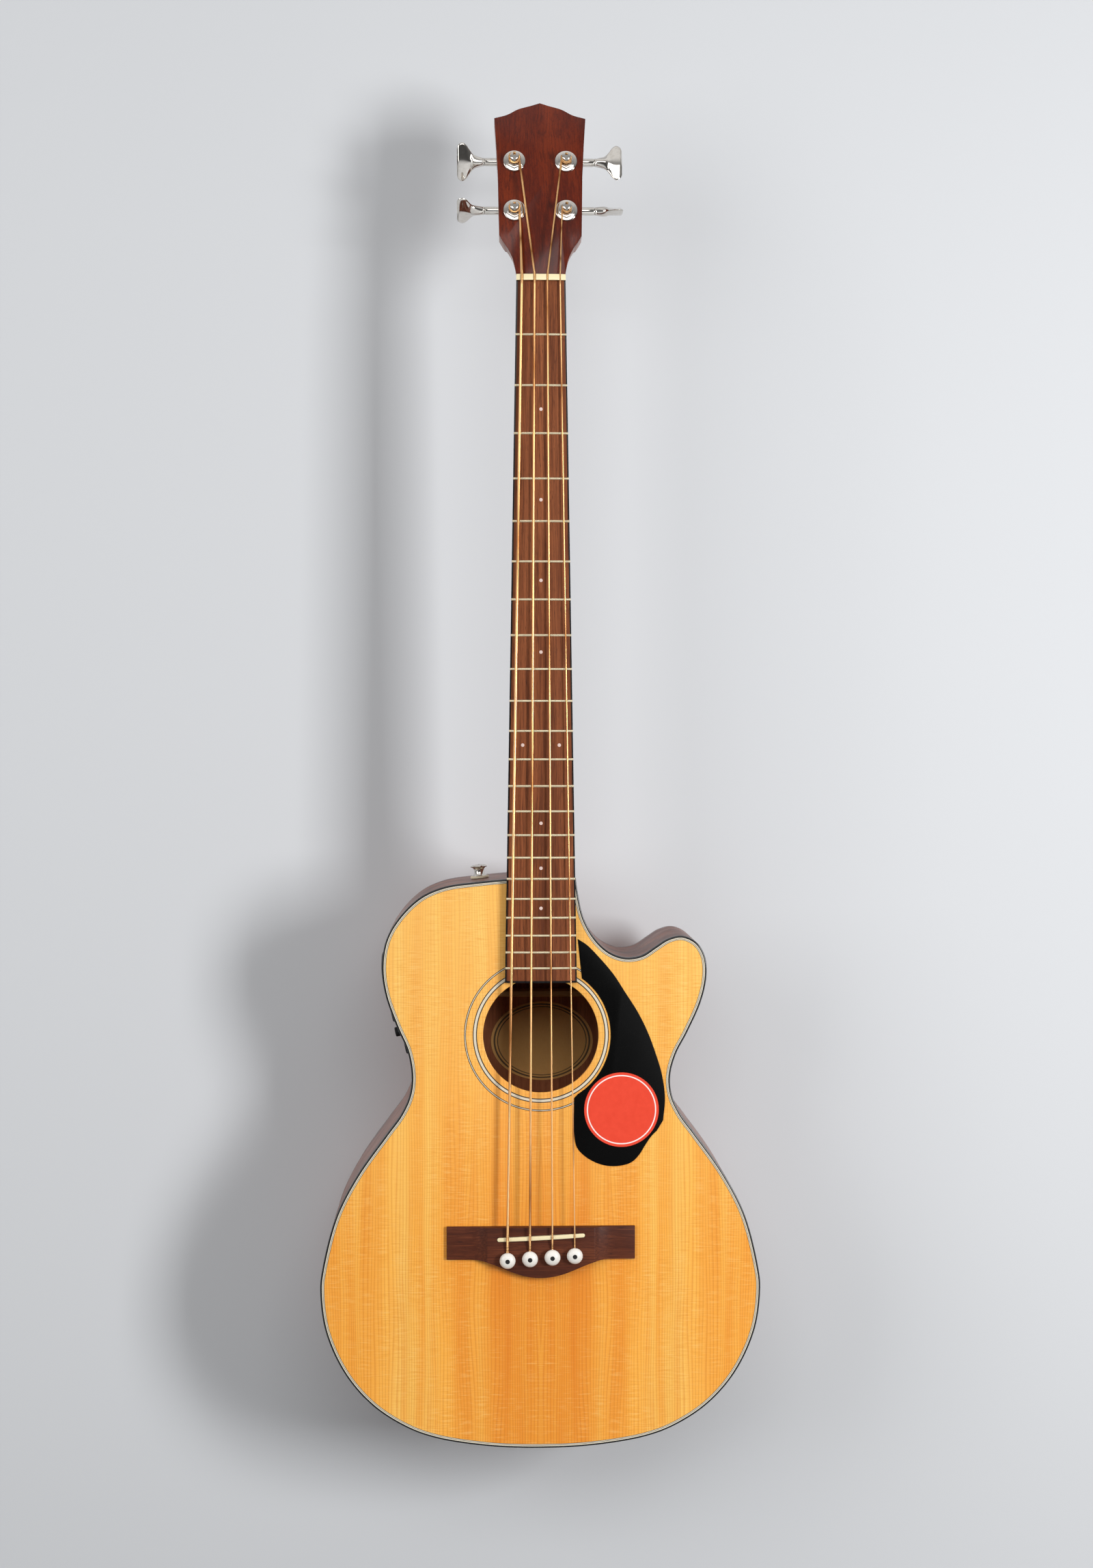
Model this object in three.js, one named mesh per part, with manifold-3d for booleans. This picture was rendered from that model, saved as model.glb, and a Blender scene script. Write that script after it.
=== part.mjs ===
// Acoustic bass guitar: short-scale four-string, 22 frets, single cutaway, four worm-gear tuners.
// Millimetres. +X is the treble side, +Y runs into the body, +Z runs up the neck.
// z = 0 is the nut's playing edge and y = 0 is the outer face of the top, which is also
// the plane that the fingerboard is glued to.
import * as THREE from "three";
import { mergeVertices } from "three/addons/utils/BufferGeometryUtils.js";
import Module from "manifold-3d";

const wasm = await Module();
wasm.setup();

// Clearances shared by every seat
const seat = 0.3;
const overrun = 4;
const weld = 1e-4;

// Scale and frets
const scaleLength = 812.8;
const fretCount = 22;
const joinFret = 17;
const fretRadius = 305;
const fretWidth = 2.3;
const fretHeight = 1.1;

// Body
const bodyLength = 490.2;
const bodyWidth = 378;
const depthAtNeck = 106;
const depthAtTail = 120;
const backDome = 4;
const topThickness = 3;
const backThickness = 2.8;
const sideThickness = 2.3;
const bindingWidth = 1.6;
const bindingDepth = 6;
const liningWidth = 6;
const liningHeight = 14;
const outlineStep = 24;

// Soundhole and its ring
const soundholeRadius = 49.4;
const boardOverSoundhole = 4.1;
const rosetteInner = 54.6;
const rosetteWidth = 3.7;
const rosetteDepth = 1;

// Blocks, plate and braces inside the body
const neckBlockGap = 6.65599802;
const neckBlockWidth = 72;
const tailBlockLength = 22;
const tailBlockWidth = 74;
const braceWidth = 8;
const braceHeight = 14;
const braceTipHeight = 5;
const braceTipLength = 40;
const xBraceAboveBridge = 68.5;
const xBraceAngle = 48;
const xBraceLength = 330;
const transverseBraceGap = 11.2;
const transverseBraceReach = 38;
const toneBarLength = 118;
const toneBarAngle = 24;
const toneBarShares = [0.31060076, 0.60641101];
const toneBarOffsets = [-14, 6];
const bridgePlateWidth = 122;
const bridgePlateLength = 48;
const bridgePlateThickness = 3;
const backBraceWidth = 7;
const backBraceHeight = 12;
const backBraceShares = [0.22165646, 0.41545491, 0.60721338, 0.79897184];

// Neck and heel
const neckDepthAtNut = 14.6;
const neckDepthAtHeel = 20;
const heelLength = 72;
const heelBeyondBack = 4;
const heelCapThickness = 2.4;
const tenonWidth = 24;
const tenonLength = 20;
const tenonTop = 6.6;
const tenonDepth = 56;

// Fingerboard and nut
const boardThickness = 6.5;
const boardOverhang = 12.58428822;
const nutWidth = 41.8;
const boardEndWidth = 61.4;
const nutLength = 5.5;
const nutHeight = 9.2;

// Truss rod
const rodRadius = 2.2;
const rodDrop = 8.6;
const rodNutRadius = 4;
const rodNutLength = 14;
const rodKeyRadius = 2;
const rodKeyDepth = 9;

// Headstock
const headstockTilt = 12;
const headstockThickness = 15;
const headstockLength = 158.2;
const headstockWidth = 78.7;
const postSpread = 44.4;
const postHeights = [58.5, 103.6];

// Strings, from the bass side to the treble side
const stringNames = ["e", "a", "d", "g"];
const stringDiameters = [2.4, 2.0, 1.6, 1.2];
const stringTurns = [1.2, 1.55, 2.05, 2.3];
const stringSpreadAtNut = 32.4;
const stringSpreadAtSaddle = 57.4;
const stringLiftAtNut = 8.1;
const stringLiftAtSaddle = 11.6;
const windingGap = 0.45;
const stringSides = 6;
const loopSteps = 16;

// Bridge, saddle and pins
const bridgeWidth = 161.4;
const bridgeWingLength = 28.3;
const bridgeLength = 43.3;
const bridgeThickness = 8.6;
const bridgeBlockWidth = 91.6;
const bridgeWingThickness = 3.2;
const bridgeScoop = 20;
const saddleSetback = 2.3;
const saddleFromBridgeTop = 8.6;
const saddleLength = 75.2;
const saddleThickness = 3.4;
const saddleSlant = 2.75;
const saddleSlot = 5.7;
const pinBehindSaddle = 16.9;
const pinSlant = 3.8;
const pinHeadRadius = 6.8;
const pinHeadHeight = 7.8;
const pinShaftRadius = 3.2;
const pinTipRadius = 2.8;
const pinShaftLength = 24;
const pinFluteFloor = 1.3;
const pinFluteWidth = 3.9;
const stringOffset = 3.6;
const ballExtra = 1.1;

// Pickguard
const guardThickness = 0.8;
const guardHeight = 195;
const guardWidth = 78;
const guardInset = 1.6;
const guardAboveSoundhole = 82.3;

// Tuning machines, in the headstock's own frame
const flangeRadius = 9.6;
const flangeThickness = 2;
const hexRadius = 7.5;
const hexHeight = 1.6;
const collarRadius = 5.3;
const collarHeight = 0.6;
const sleeveRadius = 5.2;
const sleeveLength = 8;
const postRadius = 3.9;
const postWaist = 2.9;
const postWinding = 6.4;
const postLip = 0.9;
const postSlot = 2.2;
const runningGap = 0.3;
const gearTeeth = 16;
const gearPitchRadius = 6.4;
const gearThickness = 3.6;
const wormPitchRadius = 2.4;
const toothAddendum = 0.6;
const toothDedendum = 0.9;
const toothThickness = 0.8;
const wormLength = 8.4;
const housingWall = 1.8;
const housingDepth = 9.2;
const gearPlane = 4;
const pocketGap = 0.5;
const earLength = 6;
const earScrewRadius = 1.3;
const stemRadius = 3.5;
const stemLength = 23.4;
const shaftRadius = 1.5;
const keyGap = 0.9;
const keyLength = 23.3;
const keyWidth = 33;
const keyCore = 6.6;
const keyEdge = 3;
const keyTurns = [50, 8, -28, 84];

// Preamp on the bass side
const preampShare = 0.2318563811;
const preampLength = 96;
const preampWidth = 46;
const preampProud = 2;
const preampBlank = 9;
const preampBoxLength = 88;
const preampBoxWidth = 34;
const preampBoxDepth = 30;
const preampCentre = 54;
const knobRadius = 6;
const knobHeight = 6.5;
const knobStem = 1.6;
const knobStemLength = 5;
const knobPlaces = [38, 23, 8];
const tunerButtonPlace = -5;
const tunerButtonRadius = 3.2;
const tunerButtonTravel = 1;
const doorLength = 30;
const doorWidth = 20;
const doorPlace = -28;
const doorThickness = 2;
const batteryLength = 49;
const batteryWidth = 26.5;
const batteryThickness = 17.5;

// Strap button and end-pin jack
const strapAcross = 52;
const strapDepth = 52;
const strapWasherRadius = 8;
const strapWasherThickness = 2;
const strapStemRadius = 4.4;
const strapHeight = 12;
const strapCapRadius = 7.4;
const jackFlangeRadius = 9;
const jackFlangeThickness = 2;
const jackBarrelRadius = 6.2;
const jackLipRadius = 7.4;
const jackLength = 13;
const jackInside = 44;
const jackBore = 3.3;
const jackBoreLength = 34;

// Half outline of the body in shares of half its width and of its length, from the neck
// down to the waist on each side, and the lower bout, which both sides share
const bassShares = [
  [0.116, 0], [0.283, 0.006], [0.441, 0.015], [0.55, 0.034], [0.649, 0.072], [0.701, 0.109],
  [0.719, 0.156], [0.703, 0.203], [0.653, 0.258], [0.603, 0.303], [0.585, 0.346],
];
const lowerBoutShares = [
  [0.595, 0.379], [0.633, 0.412], [0.699, 0.447], [0.832, 0.519], [0.928, 0.591], [0.99, 0.683],
  [1, 0.719], [0.975, 0.793], [0.887, 0.868], [0.761, 0.924], [0.61, 0.962], [0.477, 0.981],
  [0.238, 0.996], [0, 1],
];
const trebleShares = [
  [0.588, 0.346], [0.613, 0.309], [0.664, 0.271], [0.723, 0.221], [0.749, 0.183], [0.753, 0.154],
  [0.741, 0.132], [0.706, 0.112], [0.642, 0.101], [0.577, 0.106], [0.519, 0.12], [0.458, 0.135],
  [0.386, 0.139], [0.315, 0.13], [0.251, 0.108], [0.196, 0.071], [0.17, 0.03], [0.159, 0],
];

// Half outline of the headstock in shares of half its width and of its length: the flare
// from the nut, the long edge, and the crest
const flareShares = [
  [0.3, -0.09], [0.44, -0.045], [0.531, 0], [0.559, 0.046], [0.61, 0.1], [0.7, 0.152], [0.8, 0.187],
  [0.895, 0.229],
];
const edgeShares = [[0.906, 0.352], [0.922, 0.569], [0.958, 0.746], [1, 0.91]];
const crestShares = [[0.72, 0.93], [0.475, 0.963], [0.196, 0.984], [0, 1]];

// Heel profile in shares of its length towards the body and of its depth
const heelShares = [
  [0.3, 0.015], [0.5, 0.06], [0.68, 0.16], [0.82, 0.32], [0.92, 0.55], [0.975, 0.8], [1, 1],
];

// Outer edge of the pickguard in shares of its width and height, from the fingerboard's side
const guardShares = [
  [0.04, 0], [0.14, 0.026], [0.28, 0.083], [0.43, 0.154], [0.56, 0.234], [0.7, 0.322],
  [0.81, 0.411], [0.9, 0.508], [0.965, 0.596], [1, 0.7], [0.98, 0.8],
];
const guardTailShares = [
  [0.94, 0.835], [0.85, 0.87], [0.775, 0.914], [0.72, 0.95], [0.63, 0.985], [0.5, 1],
  [0.365, 1], [0.23, 0.984], [0.12, 0.957], [0.035, 0.921], [0, 0.86], [0, 0.7],
];

// Half outline of a tuner key in shares of its length, inwards from its flat end, and of
// half its width
const keyShares = [
  [0, 0.72], [0.06, 0.9], [0.2, 1], [0.33, 0.9], [0.47, 0.63], [0.62, 0.38], [1, 0.2],
];

const degrees = Math.PI / 180;
const guitar = new THREE.Group();
const vector = (x, y, z) => new THREE.Vector3(x, y, z);
const bodyTop = -scaleLength * (1 - 2 ** (-joinFret / 12));
const bodyTail = bodyTop - bodyLength;
const fretDrop = (fret) => scaleLength * (1 - 2 ** (-fret / 12));

const heelDepth = depthAtNeck + heelBeyondBack;

// Places down the centre line, measured from the nut's edge
const boardEnd = fretDrop(fretCount) + boardOverhang;
const soundholeDrop = boardEnd - boardOverSoundhole + soundholeRadius;
const transverseBraceDrop =
  soundholeDrop - soundholeRadius - transverseBraceGap - braceWidth / 2;
const neckBlockLength = bodyTop + transverseBraceDrop - braceWidth / 2 - neckBlockGap;
const saddleDrop = scaleLength + saddleSetback;
const bridgeTopDrop = saddleDrop - saddleFromBridgeTop;
const xBraceDrop = bridgeTopDrop - xBraceAboveBridge;
const bridgeBellyDrop = bridgeTopDrop + bridgeLength;
const pinDrop = saddleDrop + pinBehindSaddle;
const guardDrop = soundholeDrop - guardAboveSoundhole;
const bodyDrop = (share) => share * bodyLength - bodyTop;
const preampDrop = bodyDrop(preampShare);
const backBraceDrops = backBraceShares.map(bodyDrop);
const toneBarDrops = toneBarShares.map(
  (share) => bridgeBellyDrop + share * (-bodyTail - bridgeBellyDrop),
);
const crown = (x) => (x * x) / (2 * fretRadius);
const backDepth = (z) =>
  depthAtNeck + ((depthAtTail - depthAtNeck) * (bodyTop - z)) / bodyLength;
const boardHalfWidth = (drop) =>
  (nutWidth + ((boardEndWidth - nutWidth) * drop) / boardEnd) / 2;

// Turns a closed geometry into a solid with its faces outwards.
function solid(geometry) {
  const bare = new THREE.BufferGeometry();
  bare.setAttribute("position", geometry.getAttribute("position").clone());
  bare.setIndex(geometry.index);
  const merged = mergeVertices(bare, weld);
  const corners = merged.getAttribute("position").array;
  const source = merged.index.array;
  const triangles = [];
  let volume = 0;
  for (let i = 0; i < source.length; i += 3) {
    const [a, b, c] = [source[i], source[i + 1], source[i + 2]];
    if (a === b || b === c || c === a) continue;
    triangles.push(a, b, c);
    const [p, q, r] = [a, b, c].map((k) => vector(...corners.slice(3 * k, 3 * k + 3)));
    volume += p.dot(q.cross(r));
  }
  if (volume < 0) triangles.reverse();
  return new wasm.Manifold(
    new wasm.Mesh({
      numProp: 3,
      vertProperties: new Float32Array(corners),
      triVerts: new Uint32Array(triangles),
    }),
  );
}

function geometryOf(body) {
  const { vertProperties, triVerts } = body.getMesh();
  const geometry = new THREE.BufferGeometry();
  geometry.setAttribute("position", new THREE.Float32BufferAttribute(vertProperties, 3));
  geometry.setIndex(Array.from(triVerts));
  geometry.computeVertexNormals();
  return geometry;
}

const cut = (body, ...tools) => tools.reduce((rest, tool) => rest.subtract(tool), body);
const join = (body, ...others) => others.reduce((sum, other) => sum.add(other), body);

const finishes = {
  spruce: ["#d9963c", 0.35, 0],
  mahogany: ["#5b2415", 0.35, 0],
  rosewood: ["#3d2018", 0.6, 0],
  bracewood: ["#c9a064", 0.7, 0],
  black: ["#0c0b0b", 0.25, 0],
  bone: ["#efe2bb", 0.4, 0],
  white: ["#f4f2ee", 0.25, 0],
  chrome: ["#d8d8da", 0.12, 1],
  nickel: ["#bdbab4", 0.3, 1],
  bronze: ["#c9944f", 0.35, 1],
  steel: ["#8d8f93", 0.4, 1],
};
const finishCache = {};
function finish(name) {
  if (!finishCache[name]) {
    const [color, roughness, metalness] = finishes[name];
    finishCache[name] = new THREE.MeshStandardMaterial({ color, roughness, metalness });
  }
  return finishCache[name];
}

function piece(name, body, finishName, parent = guitar) {
  const mesh = new THREE.Mesh(geometryOf(body), finish(finishName));
  mesh.name = name;
  parent.add(mesh);
  return mesh;
}

// A block between two corners
function block(low, high) {
  const size = new THREE.Vector3().subVectors(high, low);
  const geometry = new THREE.BoxGeometry(size.x, size.y, size.z);
  return solid(geometry.translate(...low.clone().add(high).multiplyScalar(0.5)));
}

// A cylinder from one point to another
function rod(radius, from, to, sides = 16) {
  const axis = new THREE.Vector3().subVectors(to, from);
  const geometry = new THREE.CylinderGeometry(radius, radius, axis.length(), sides);
  const turn = new THREE.Quaternion().setFromUnitVectors(
    vector(0, 1, 0),
    axis.clone().normalize(),
  );
  geometry.applyQuaternion(turn);
  return solid(geometry.translate(...from.clone().add(to).multiplyScalar(0.5)));
}

// A profile of [radius, height] pairs turned about the Y axis
function turned(profile, sides = 14) {
  const points = profile.map(([radius, height]) => new THREE.Vector2(radius, height));
  return solid(new THREE.LatheGeometry(points, sides));
}

// A flat shape in the X-Z plane with its thickness between two depths
function plate(outline, front, back, holes = []) {
  const shape = new THREE.Shape(outline);
  holes.forEach((hole) => shape.holes.push(new THREE.Path(hole)));
  const geometry = new THREE.ExtrudeGeometry(shape, {
    depth: back - front,
    bevelEnabled: false,
  });
  return solid(geometry.rotateX(Math.PI / 2).translate(0, back, 0));
}

// A shape in the X-Y plane with its length between two heights
function bar(outline, bottom, top) {
  const geometry = new THREE.ExtrudeGeometry(new THREE.Shape(outline), {
    depth: top - bottom,
    bevelEnabled: false,
  });
  return solid(geometry.translate(0, 0, bottom));
}

function circle(radius, x, z, sides) {
  return Array.from({ length: sides }, (_, i) => {
    const angle = (2 * Math.PI * i) / sides;
    return new THREE.Vector2(x + radius * Math.cos(angle), z + radius * Math.sin(angle));
  });
}

// Triangles that close one end of a loft
function capTriangles(ring) {
  const normal = vector(0, 0, 0);
  ring.forEach((p, i) => {
    const q = ring[(i + 1) % ring.length];
    normal.add(new THREE.Vector3().crossVectors(p, q));
  });
  normal.normalize();
  const across = new THREE.Vector3().subVectors(ring[1], ring[0]).normalize();
  across.addScaledVector(normal, -across.dot(normal)).normalize();
  const along = new THREE.Vector3().crossVectors(normal, across);
  const flat = ring.map((p) => new THREE.Vector2(p.dot(across), p.dot(along)));
  return THREE.ShapeUtils.triangulateShape(flat, []);
}

// A skin over a row of rings with equal counts of points, closed on itself or capped
function loft(rings, closed = false) {
  const count = rings[0].length;
  const corners = rings.flat().flatMap((p) => [p.x, p.y, p.z]);
  const triangles = [];
  const bands = closed ? rings.length : rings.length - 1;
  for (let band = 0; band < bands; band++) {
    const here = band * count;
    const there = ((band + 1) % rings.length) * count;
    for (let i = 0; i < count; i++) {
      const next = (i + 1) % count;
      triangles.push(here + i, here + next, there + next);
      triangles.push(here + i, there + next, there + i);
    }
  }
  if (!closed) {
    const last = (rings.length - 1) * count;
    capTriangles(rings[0]).forEach(([a, b, c]) => triangles.push(c, b, a));
    capTriangles(rings[rings.length - 1]).forEach(([a, b, c]) =>
      triangles.push(last + a, last + b, last + c),
    );
  }
  const geometry = new THREE.BufferGeometry();
  geometry.setAttribute("position", new THREE.Float32BufferAttribute(corners, 3));
  geometry.setIndex(triangles);
  return solid(geometry);
}

// A round tube along a row of points, with its ends square to them
function tube(points, radius, sides) {
  const direction = (i) => {
    const before = points[Math.max(i - 1, 0)];
    const after = points[Math.min(i + 1, points.length - 1)];
    return new THREE.Vector3().subVectors(after, before).normalize();
  };
  const up = vector(1, 0, 0);
  const rings = points.map((point, i) => {
    const forward = direction(i);
    up.addScaledVector(forward, -up.dot(forward)).normalize();
    const side = new THREE.Vector3().crossVectors(forward, up);
    return Array.from({ length: sides }, (_, k) => {
      const angle = (2 * Math.PI * k) / sides;
      return point
        .clone()
        .addScaledVector(up, radius * Math.cos(angle))
        .addScaledVector(side, radius * Math.sin(angle));
    });
  });
  return loft(rings);
}

// A smooth line through flat points, with a fixed count of steps to each stretch
function smooth(points, steps) {
  const curve = new THREE.SplineCurve(points.map(([x, z]) => new THREE.Vector2(x, z)));
  return curve.getPoints(steps * (points.length - 1));
}

// Body outline, counterclockwise from the neck down the bass side, with the row of points
// that each stretch of the curve needs at the outline's step
const tenonHalf = tenonWidth / 2 + seat;
const bodyPoint = ([across, down], side) =>
  vector((side * across * bodyWidth) / 2, 0, bodyTop - down * bodyLength);
const bassSide = [...bassShares, ...lowerBoutShares].map((share) => bodyPoint(share, -1));
const trebleSide = [...trebleShares].reverse();
const trebleLower = [...lowerBoutShares].reverse().slice(1);
const outlineControls = [
  ...bassSide,
  ...trebleLower.map((share) => bodyPoint(share, 1)),
  ...[...trebleShares].map((share) => bodyPoint(share, 1)),
];
const outlineCurve = new THREE.CatmullRomCurve3(outlineControls);

function outlineSamples() {
  const samples = [new THREE.Vector2(-tenonHalf, bodyTop)];
  const last = outlineControls.length - 1;
  let tail = 0;
  for (let i = 0; i < last; i++) {
    const chord = outlineControls[i].distanceTo(outlineControls[i + 1]);
    const steps = Math.max(1, Math.round(chord / outlineStep));
    if (i === bassSide.length - 1) tail = samples.length;
    for (let k = 0; k < steps; k++) {
      const point = outlineCurve.getPoint((i + k / steps) / last);
      samples.push(new THREE.Vector2(point.x, point.z));
    }
  }
  const end = outlineControls[last];
  samples.push(new THREE.Vector2(end.x, end.z));
  samples.push(new THREE.Vector2(tenonHalf, bodyTop));
  return { samples, tail };
}

const { samples: outline, tail: tailIndex } = outlineSamples();

// The outline moved inwards by one distance, with its corners mitred
function inset(distance) {
  return outline.map((point, i) => {
    const before = outline[(i + outline.length - 1) % outline.length];
    const after = outline[(i + 1) % outline.length];
    const arriving = new THREE.Vector2().subVectors(point, before).normalize();
    const leaving = new THREE.Vector2().subVectors(after, point).normalize();
    const bisector = arriving.clone().add(leaving).normalize();
    const inward = new THREE.Vector2(-bisector.y, bisector.x);
    const mitre = inward.dot(new THREE.Vector2(-arriving.y, arriving.x));
    return point.clone().addScaledVector(inward, distance / mitre);
  });
}

// A section of [inset, depth] pairs carried along the outline
function sweepRim(first, last, sectionAt, closed) {
  const rings = [];
  for (let i = first; i <= last; i++) {
    const z = outline[i].y;
    const section = sectionAt(i, z);
    rings.push(
      section.map(([distance, depth]) => {
        const place = inset(distance)[i];
        return vector(place.x, depth, place.y);
      }),
    );
  }
  return loft(rings, closed);
}

const innerPrism = (distance) => plate(inset(distance), -overrun, depthAtTail + 2 * overrun);
const woodInset = bindingWidth + seat;
const wallInner = sideThickness + seat;
const liningInner = sideThickness + liningWidth;

// Long narrow frame for a bar lying on the top or back: x along it, turned in its plane
function turnInPlane(body, angle, x, z) {
  return body.rotate([0, -angle, 0]).translate([x, 0, z]);
}

// Body shell
function soundboard(stringCuts) {
  const hole = circle(soundholeRadius, 0, -soundholeDrop, 36).reverse();
  const board = plate(inset(woodInset), 0, topThickness, [hole]);
  const groove = cut(
    rod(
      rosetteInner + rosetteWidth + seat,
      vector(0, -overrun, -soundholeDrop),
      vector(0, rosetteDepth + seat, -soundholeDrop),
      64,
    ),
    rod(
      rosetteInner - seat,
      vector(0, -overrun * 2, -soundholeDrop),
      vector(0, topThickness, -soundholeDrop),
      64,
    ),
  );
  return cut(board, groove, ...pinHoles(topThickness + overrun), ...stringCuts);
}

function backSkin(clearance, outside = 0) {
  const edge = inset(woodInset);
  const centre = new THREE.Vector2(0, (bodyTop + bodyTail) / 2 - bodyLength / 40);
  const scales = [0.55, 1];
  const ring = (scale, thickness) =>
    edge.map((point) => {
      const spot = centre.clone().lerp(point, scale);
      const dome = backDome * (1 - scale * scale);
      return vector(spot.x, backDepth(spot.y) + dome - thickness, spot.y);
    });
  return loft([
    ...scales.map((scale) => ring(scale, -outside)),
    ...[...scales].reverse().map((scale) => ring(scale, backThickness + clearance)),
  ]);
}

// One bent side with its linings; the linings stop at the neck and tail blocks
function sideShell(first, last) {
  const blockEdge = liningWidth + outlineStep;
  return sweepRim(first, last, (i, z) => {
    const atTail = z < bodyTail + tailBlockLength + outlineStep;
    const atNeck = z > bodyTop - neckBlockLength - outlineStep;
    const nearTail = atTail && Math.abs(outline[i].x) < tailBlockWidth / 2 + blockEdge;
    const nearNeck = atNeck && Math.abs(outline[i].x) < neckBlockWidth / 2 + blockEdge;
    const inner = nearTail || nearNeck ? sideThickness + seat : liningInner;
    const back = backDepth(z);
    return [
      [0, bindingDepth + seat],
      [woodInset, bindingDepth + seat],
      [woodInset, topThickness + seat],
      [inner, topThickness + seat],
      [sideThickness, topThickness + seat + liningHeight],
      [sideThickness, back - backThickness - seat - liningHeight],
      [inner, back - backThickness - seat],
      [woodInset, back - backThickness - seat],
      [woodInset, back - bindingDepth - seat],
      [0, back - bindingDepth - seat],
    ];
  });
}

const topBinding = () =>
  sweepRim(
    0,
    outline.length - 1,
    () => [[0, 0], [bindingWidth, 0], [bindingWidth, bindingDepth], [0, bindingDepth]],
    true,
  );
const backBinding = () =>
  sweepRim(
    0,
    outline.length - 1,
    (i, z) => [
      [0, backDepth(z) - bindingDepth],
      [bindingWidth, backDepth(z) - bindingDepth],
      [bindingWidth, backDepth(z)],
      [0, backDepth(z)],
    ],
    true,
  );

// Blocks that the neck and the tail fittings hold on to
function neckBlock(rodBore) {
  const top = topThickness + seat;
  const whole = block(
    vector(-neckBlockWidth / 2, top, bodyTop - neckBlockLength),
    vector(neckBlockWidth / 2, depthAtNeck - backThickness - seat, bodyTop),
  );
  const mortise = block(
    vector(-tenonHalf, tenonTop - seat, bodyTop - tenonLength - seat),
    vector(tenonHalf, tenonTop + tenonDepth + seat, bodyTop + overrun),
  );
  return cut(whole.intersect(innerPrism(wallInner + seat)), mortise, rodBore);
}

function tailBlock() {
  const whole = block(
    vector(-tailBlockWidth / 2, topThickness + seat, bodyTail),
    vector(tailBlockWidth / 2, backDepth(bodyTail) + overrun, bodyTail + tailBlockLength),
  );
  const jackHole = rod(
    jackBarrelRadius + seat,
    vector(0, jackDepth, bodyTail - overrun),
    vector(0, jackDepth, bodyTail + jackInside),
  );
  return cut(whole.intersect(innerPrism(wallInner + seat)), jackHole, backSkin(seat, liningHeight));
}

// Side view of a brace on the top: full height in the middle, tapered at both ends
function topBrace(length, notch) {
  const top = topThickness + seat;
  const half = length / 2;
  const profile = [
    new THREE.Vector2(-half, top),
    new THREE.Vector2(half, top),
    new THREE.Vector2(half, top + braceTipHeight),
    new THREE.Vector2(half - braceTipLength, top + braceHeight),
    new THREE.Vector2(-half + braceTipLength, top + braceHeight),
    new THREE.Vector2(-half, top + braceTipHeight),
  ];
  const whole = bar(profile, -braceWidth / 2, braceWidth / 2);
  return notch ? cut(whole, notch) : whole;
}

// The two long braces cross at a half-lap joint, each notched for the other.
function xBrace(side) {
  const crossing = 180 - 2 * xBraceAngle;
  const half = braceWidth / 2 + seat;
  const middle = topThickness + seat + braceHeight / 2;
  const low = side > 0 ? -overrun : middle - seat / 2;
  const high = side > 0 ? middle + seat / 2 : middle + braceHeight;
  const reach = braceWidth * 2;
  const notch = block(vector(-reach, low, -half), vector(reach, high, half));
  const whole = topBrace(xBraceLength, notch.rotate([0, side * crossing, 0]));
  return turnInPlane(whole, side * (90 - xBraceAngle), 0, -xBraceDrop).intersect(
    innerPrism(liningInner + seat),
  );
}

function transverseBrace() {
  const whole = topBrace(bodyWidth).translate([0, 0, -transverseBraceDrop]);
  const bay = block(
    vector(-bodyWidth, -overrun, -transverseBraceDrop - braceWidth),
    vector(transverseBraceReach, braceHeight * 2, -transverseBraceDrop + braceWidth),
  );
  const room = rodNutRadius + seat * 2;
  const low = -transverseBraceDrop - braceWidth;
  const high = -transverseBraceDrop + braceWidth;
  const arch = join(
    rod(room, vector(0, rodDrop, low), vector(0, rodDrop, high), 12),
    block(vector(-room, -overrun, low), vector(room, rodDrop, high)),
  );
  return cut(whole.intersect(innerPrism(liningInner + seat)).intersect(bay), arch);
}

// The space that the tail block fills, with a gap round it
function tailBlockRoom() {
  return block(
    vector(-tailBlockWidth / 2 - seat, -overrun, bodyTail - overrun),
    vector(tailBlockWidth / 2 + seat, depthAtTail * 2, bodyTail + tailBlockLength + seat),
  );
}

// The tone bars end short of the bridge plate and of the tail block.
function toneBar(i) {
  const whole = topBrace(toneBarLength);
  const placed = turnInPlane(whole, toneBarAngle, toneBarOffsets[i], -toneBarDrops[i]);
  const band = block(
    vector(-bodyWidth / 2, 0, bodyTail + tailBlockLength + seat),
    vector(bodyWidth / 2, braceHeight * 2, -bridgeTopDrop - bridgePlateLength - seat),
  );
  return placed.intersect(band).intersect(innerPrism(liningInner + seat));
}

function bridgePlate(stringCuts) {
  const top = topThickness + seat;
  const low = -bridgeTopDrop - bridgePlateLength;
  const whole = block(
    vector(-bridgePlateWidth / 2, top, low),
    vector(bridgePlateWidth / 2, top + bridgePlateThickness, -bridgeTopDrop),
  );
  const legs = [-1, 1].map((side) => {
    const half = braceWidth / 2 + seat;
    const leg = block(
      vector(-xBraceLength, -overrun, -half),
      vector(xBraceLength, braceHeight * 2, half),
    );
    return turnInPlane(leg, side * (90 - xBraceAngle), 0, -xBraceDrop);
  });
  return cut(whole, ...legs, ...pinHoles(top + bridgePlateThickness + overrun), ...stringCuts);
}

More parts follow.
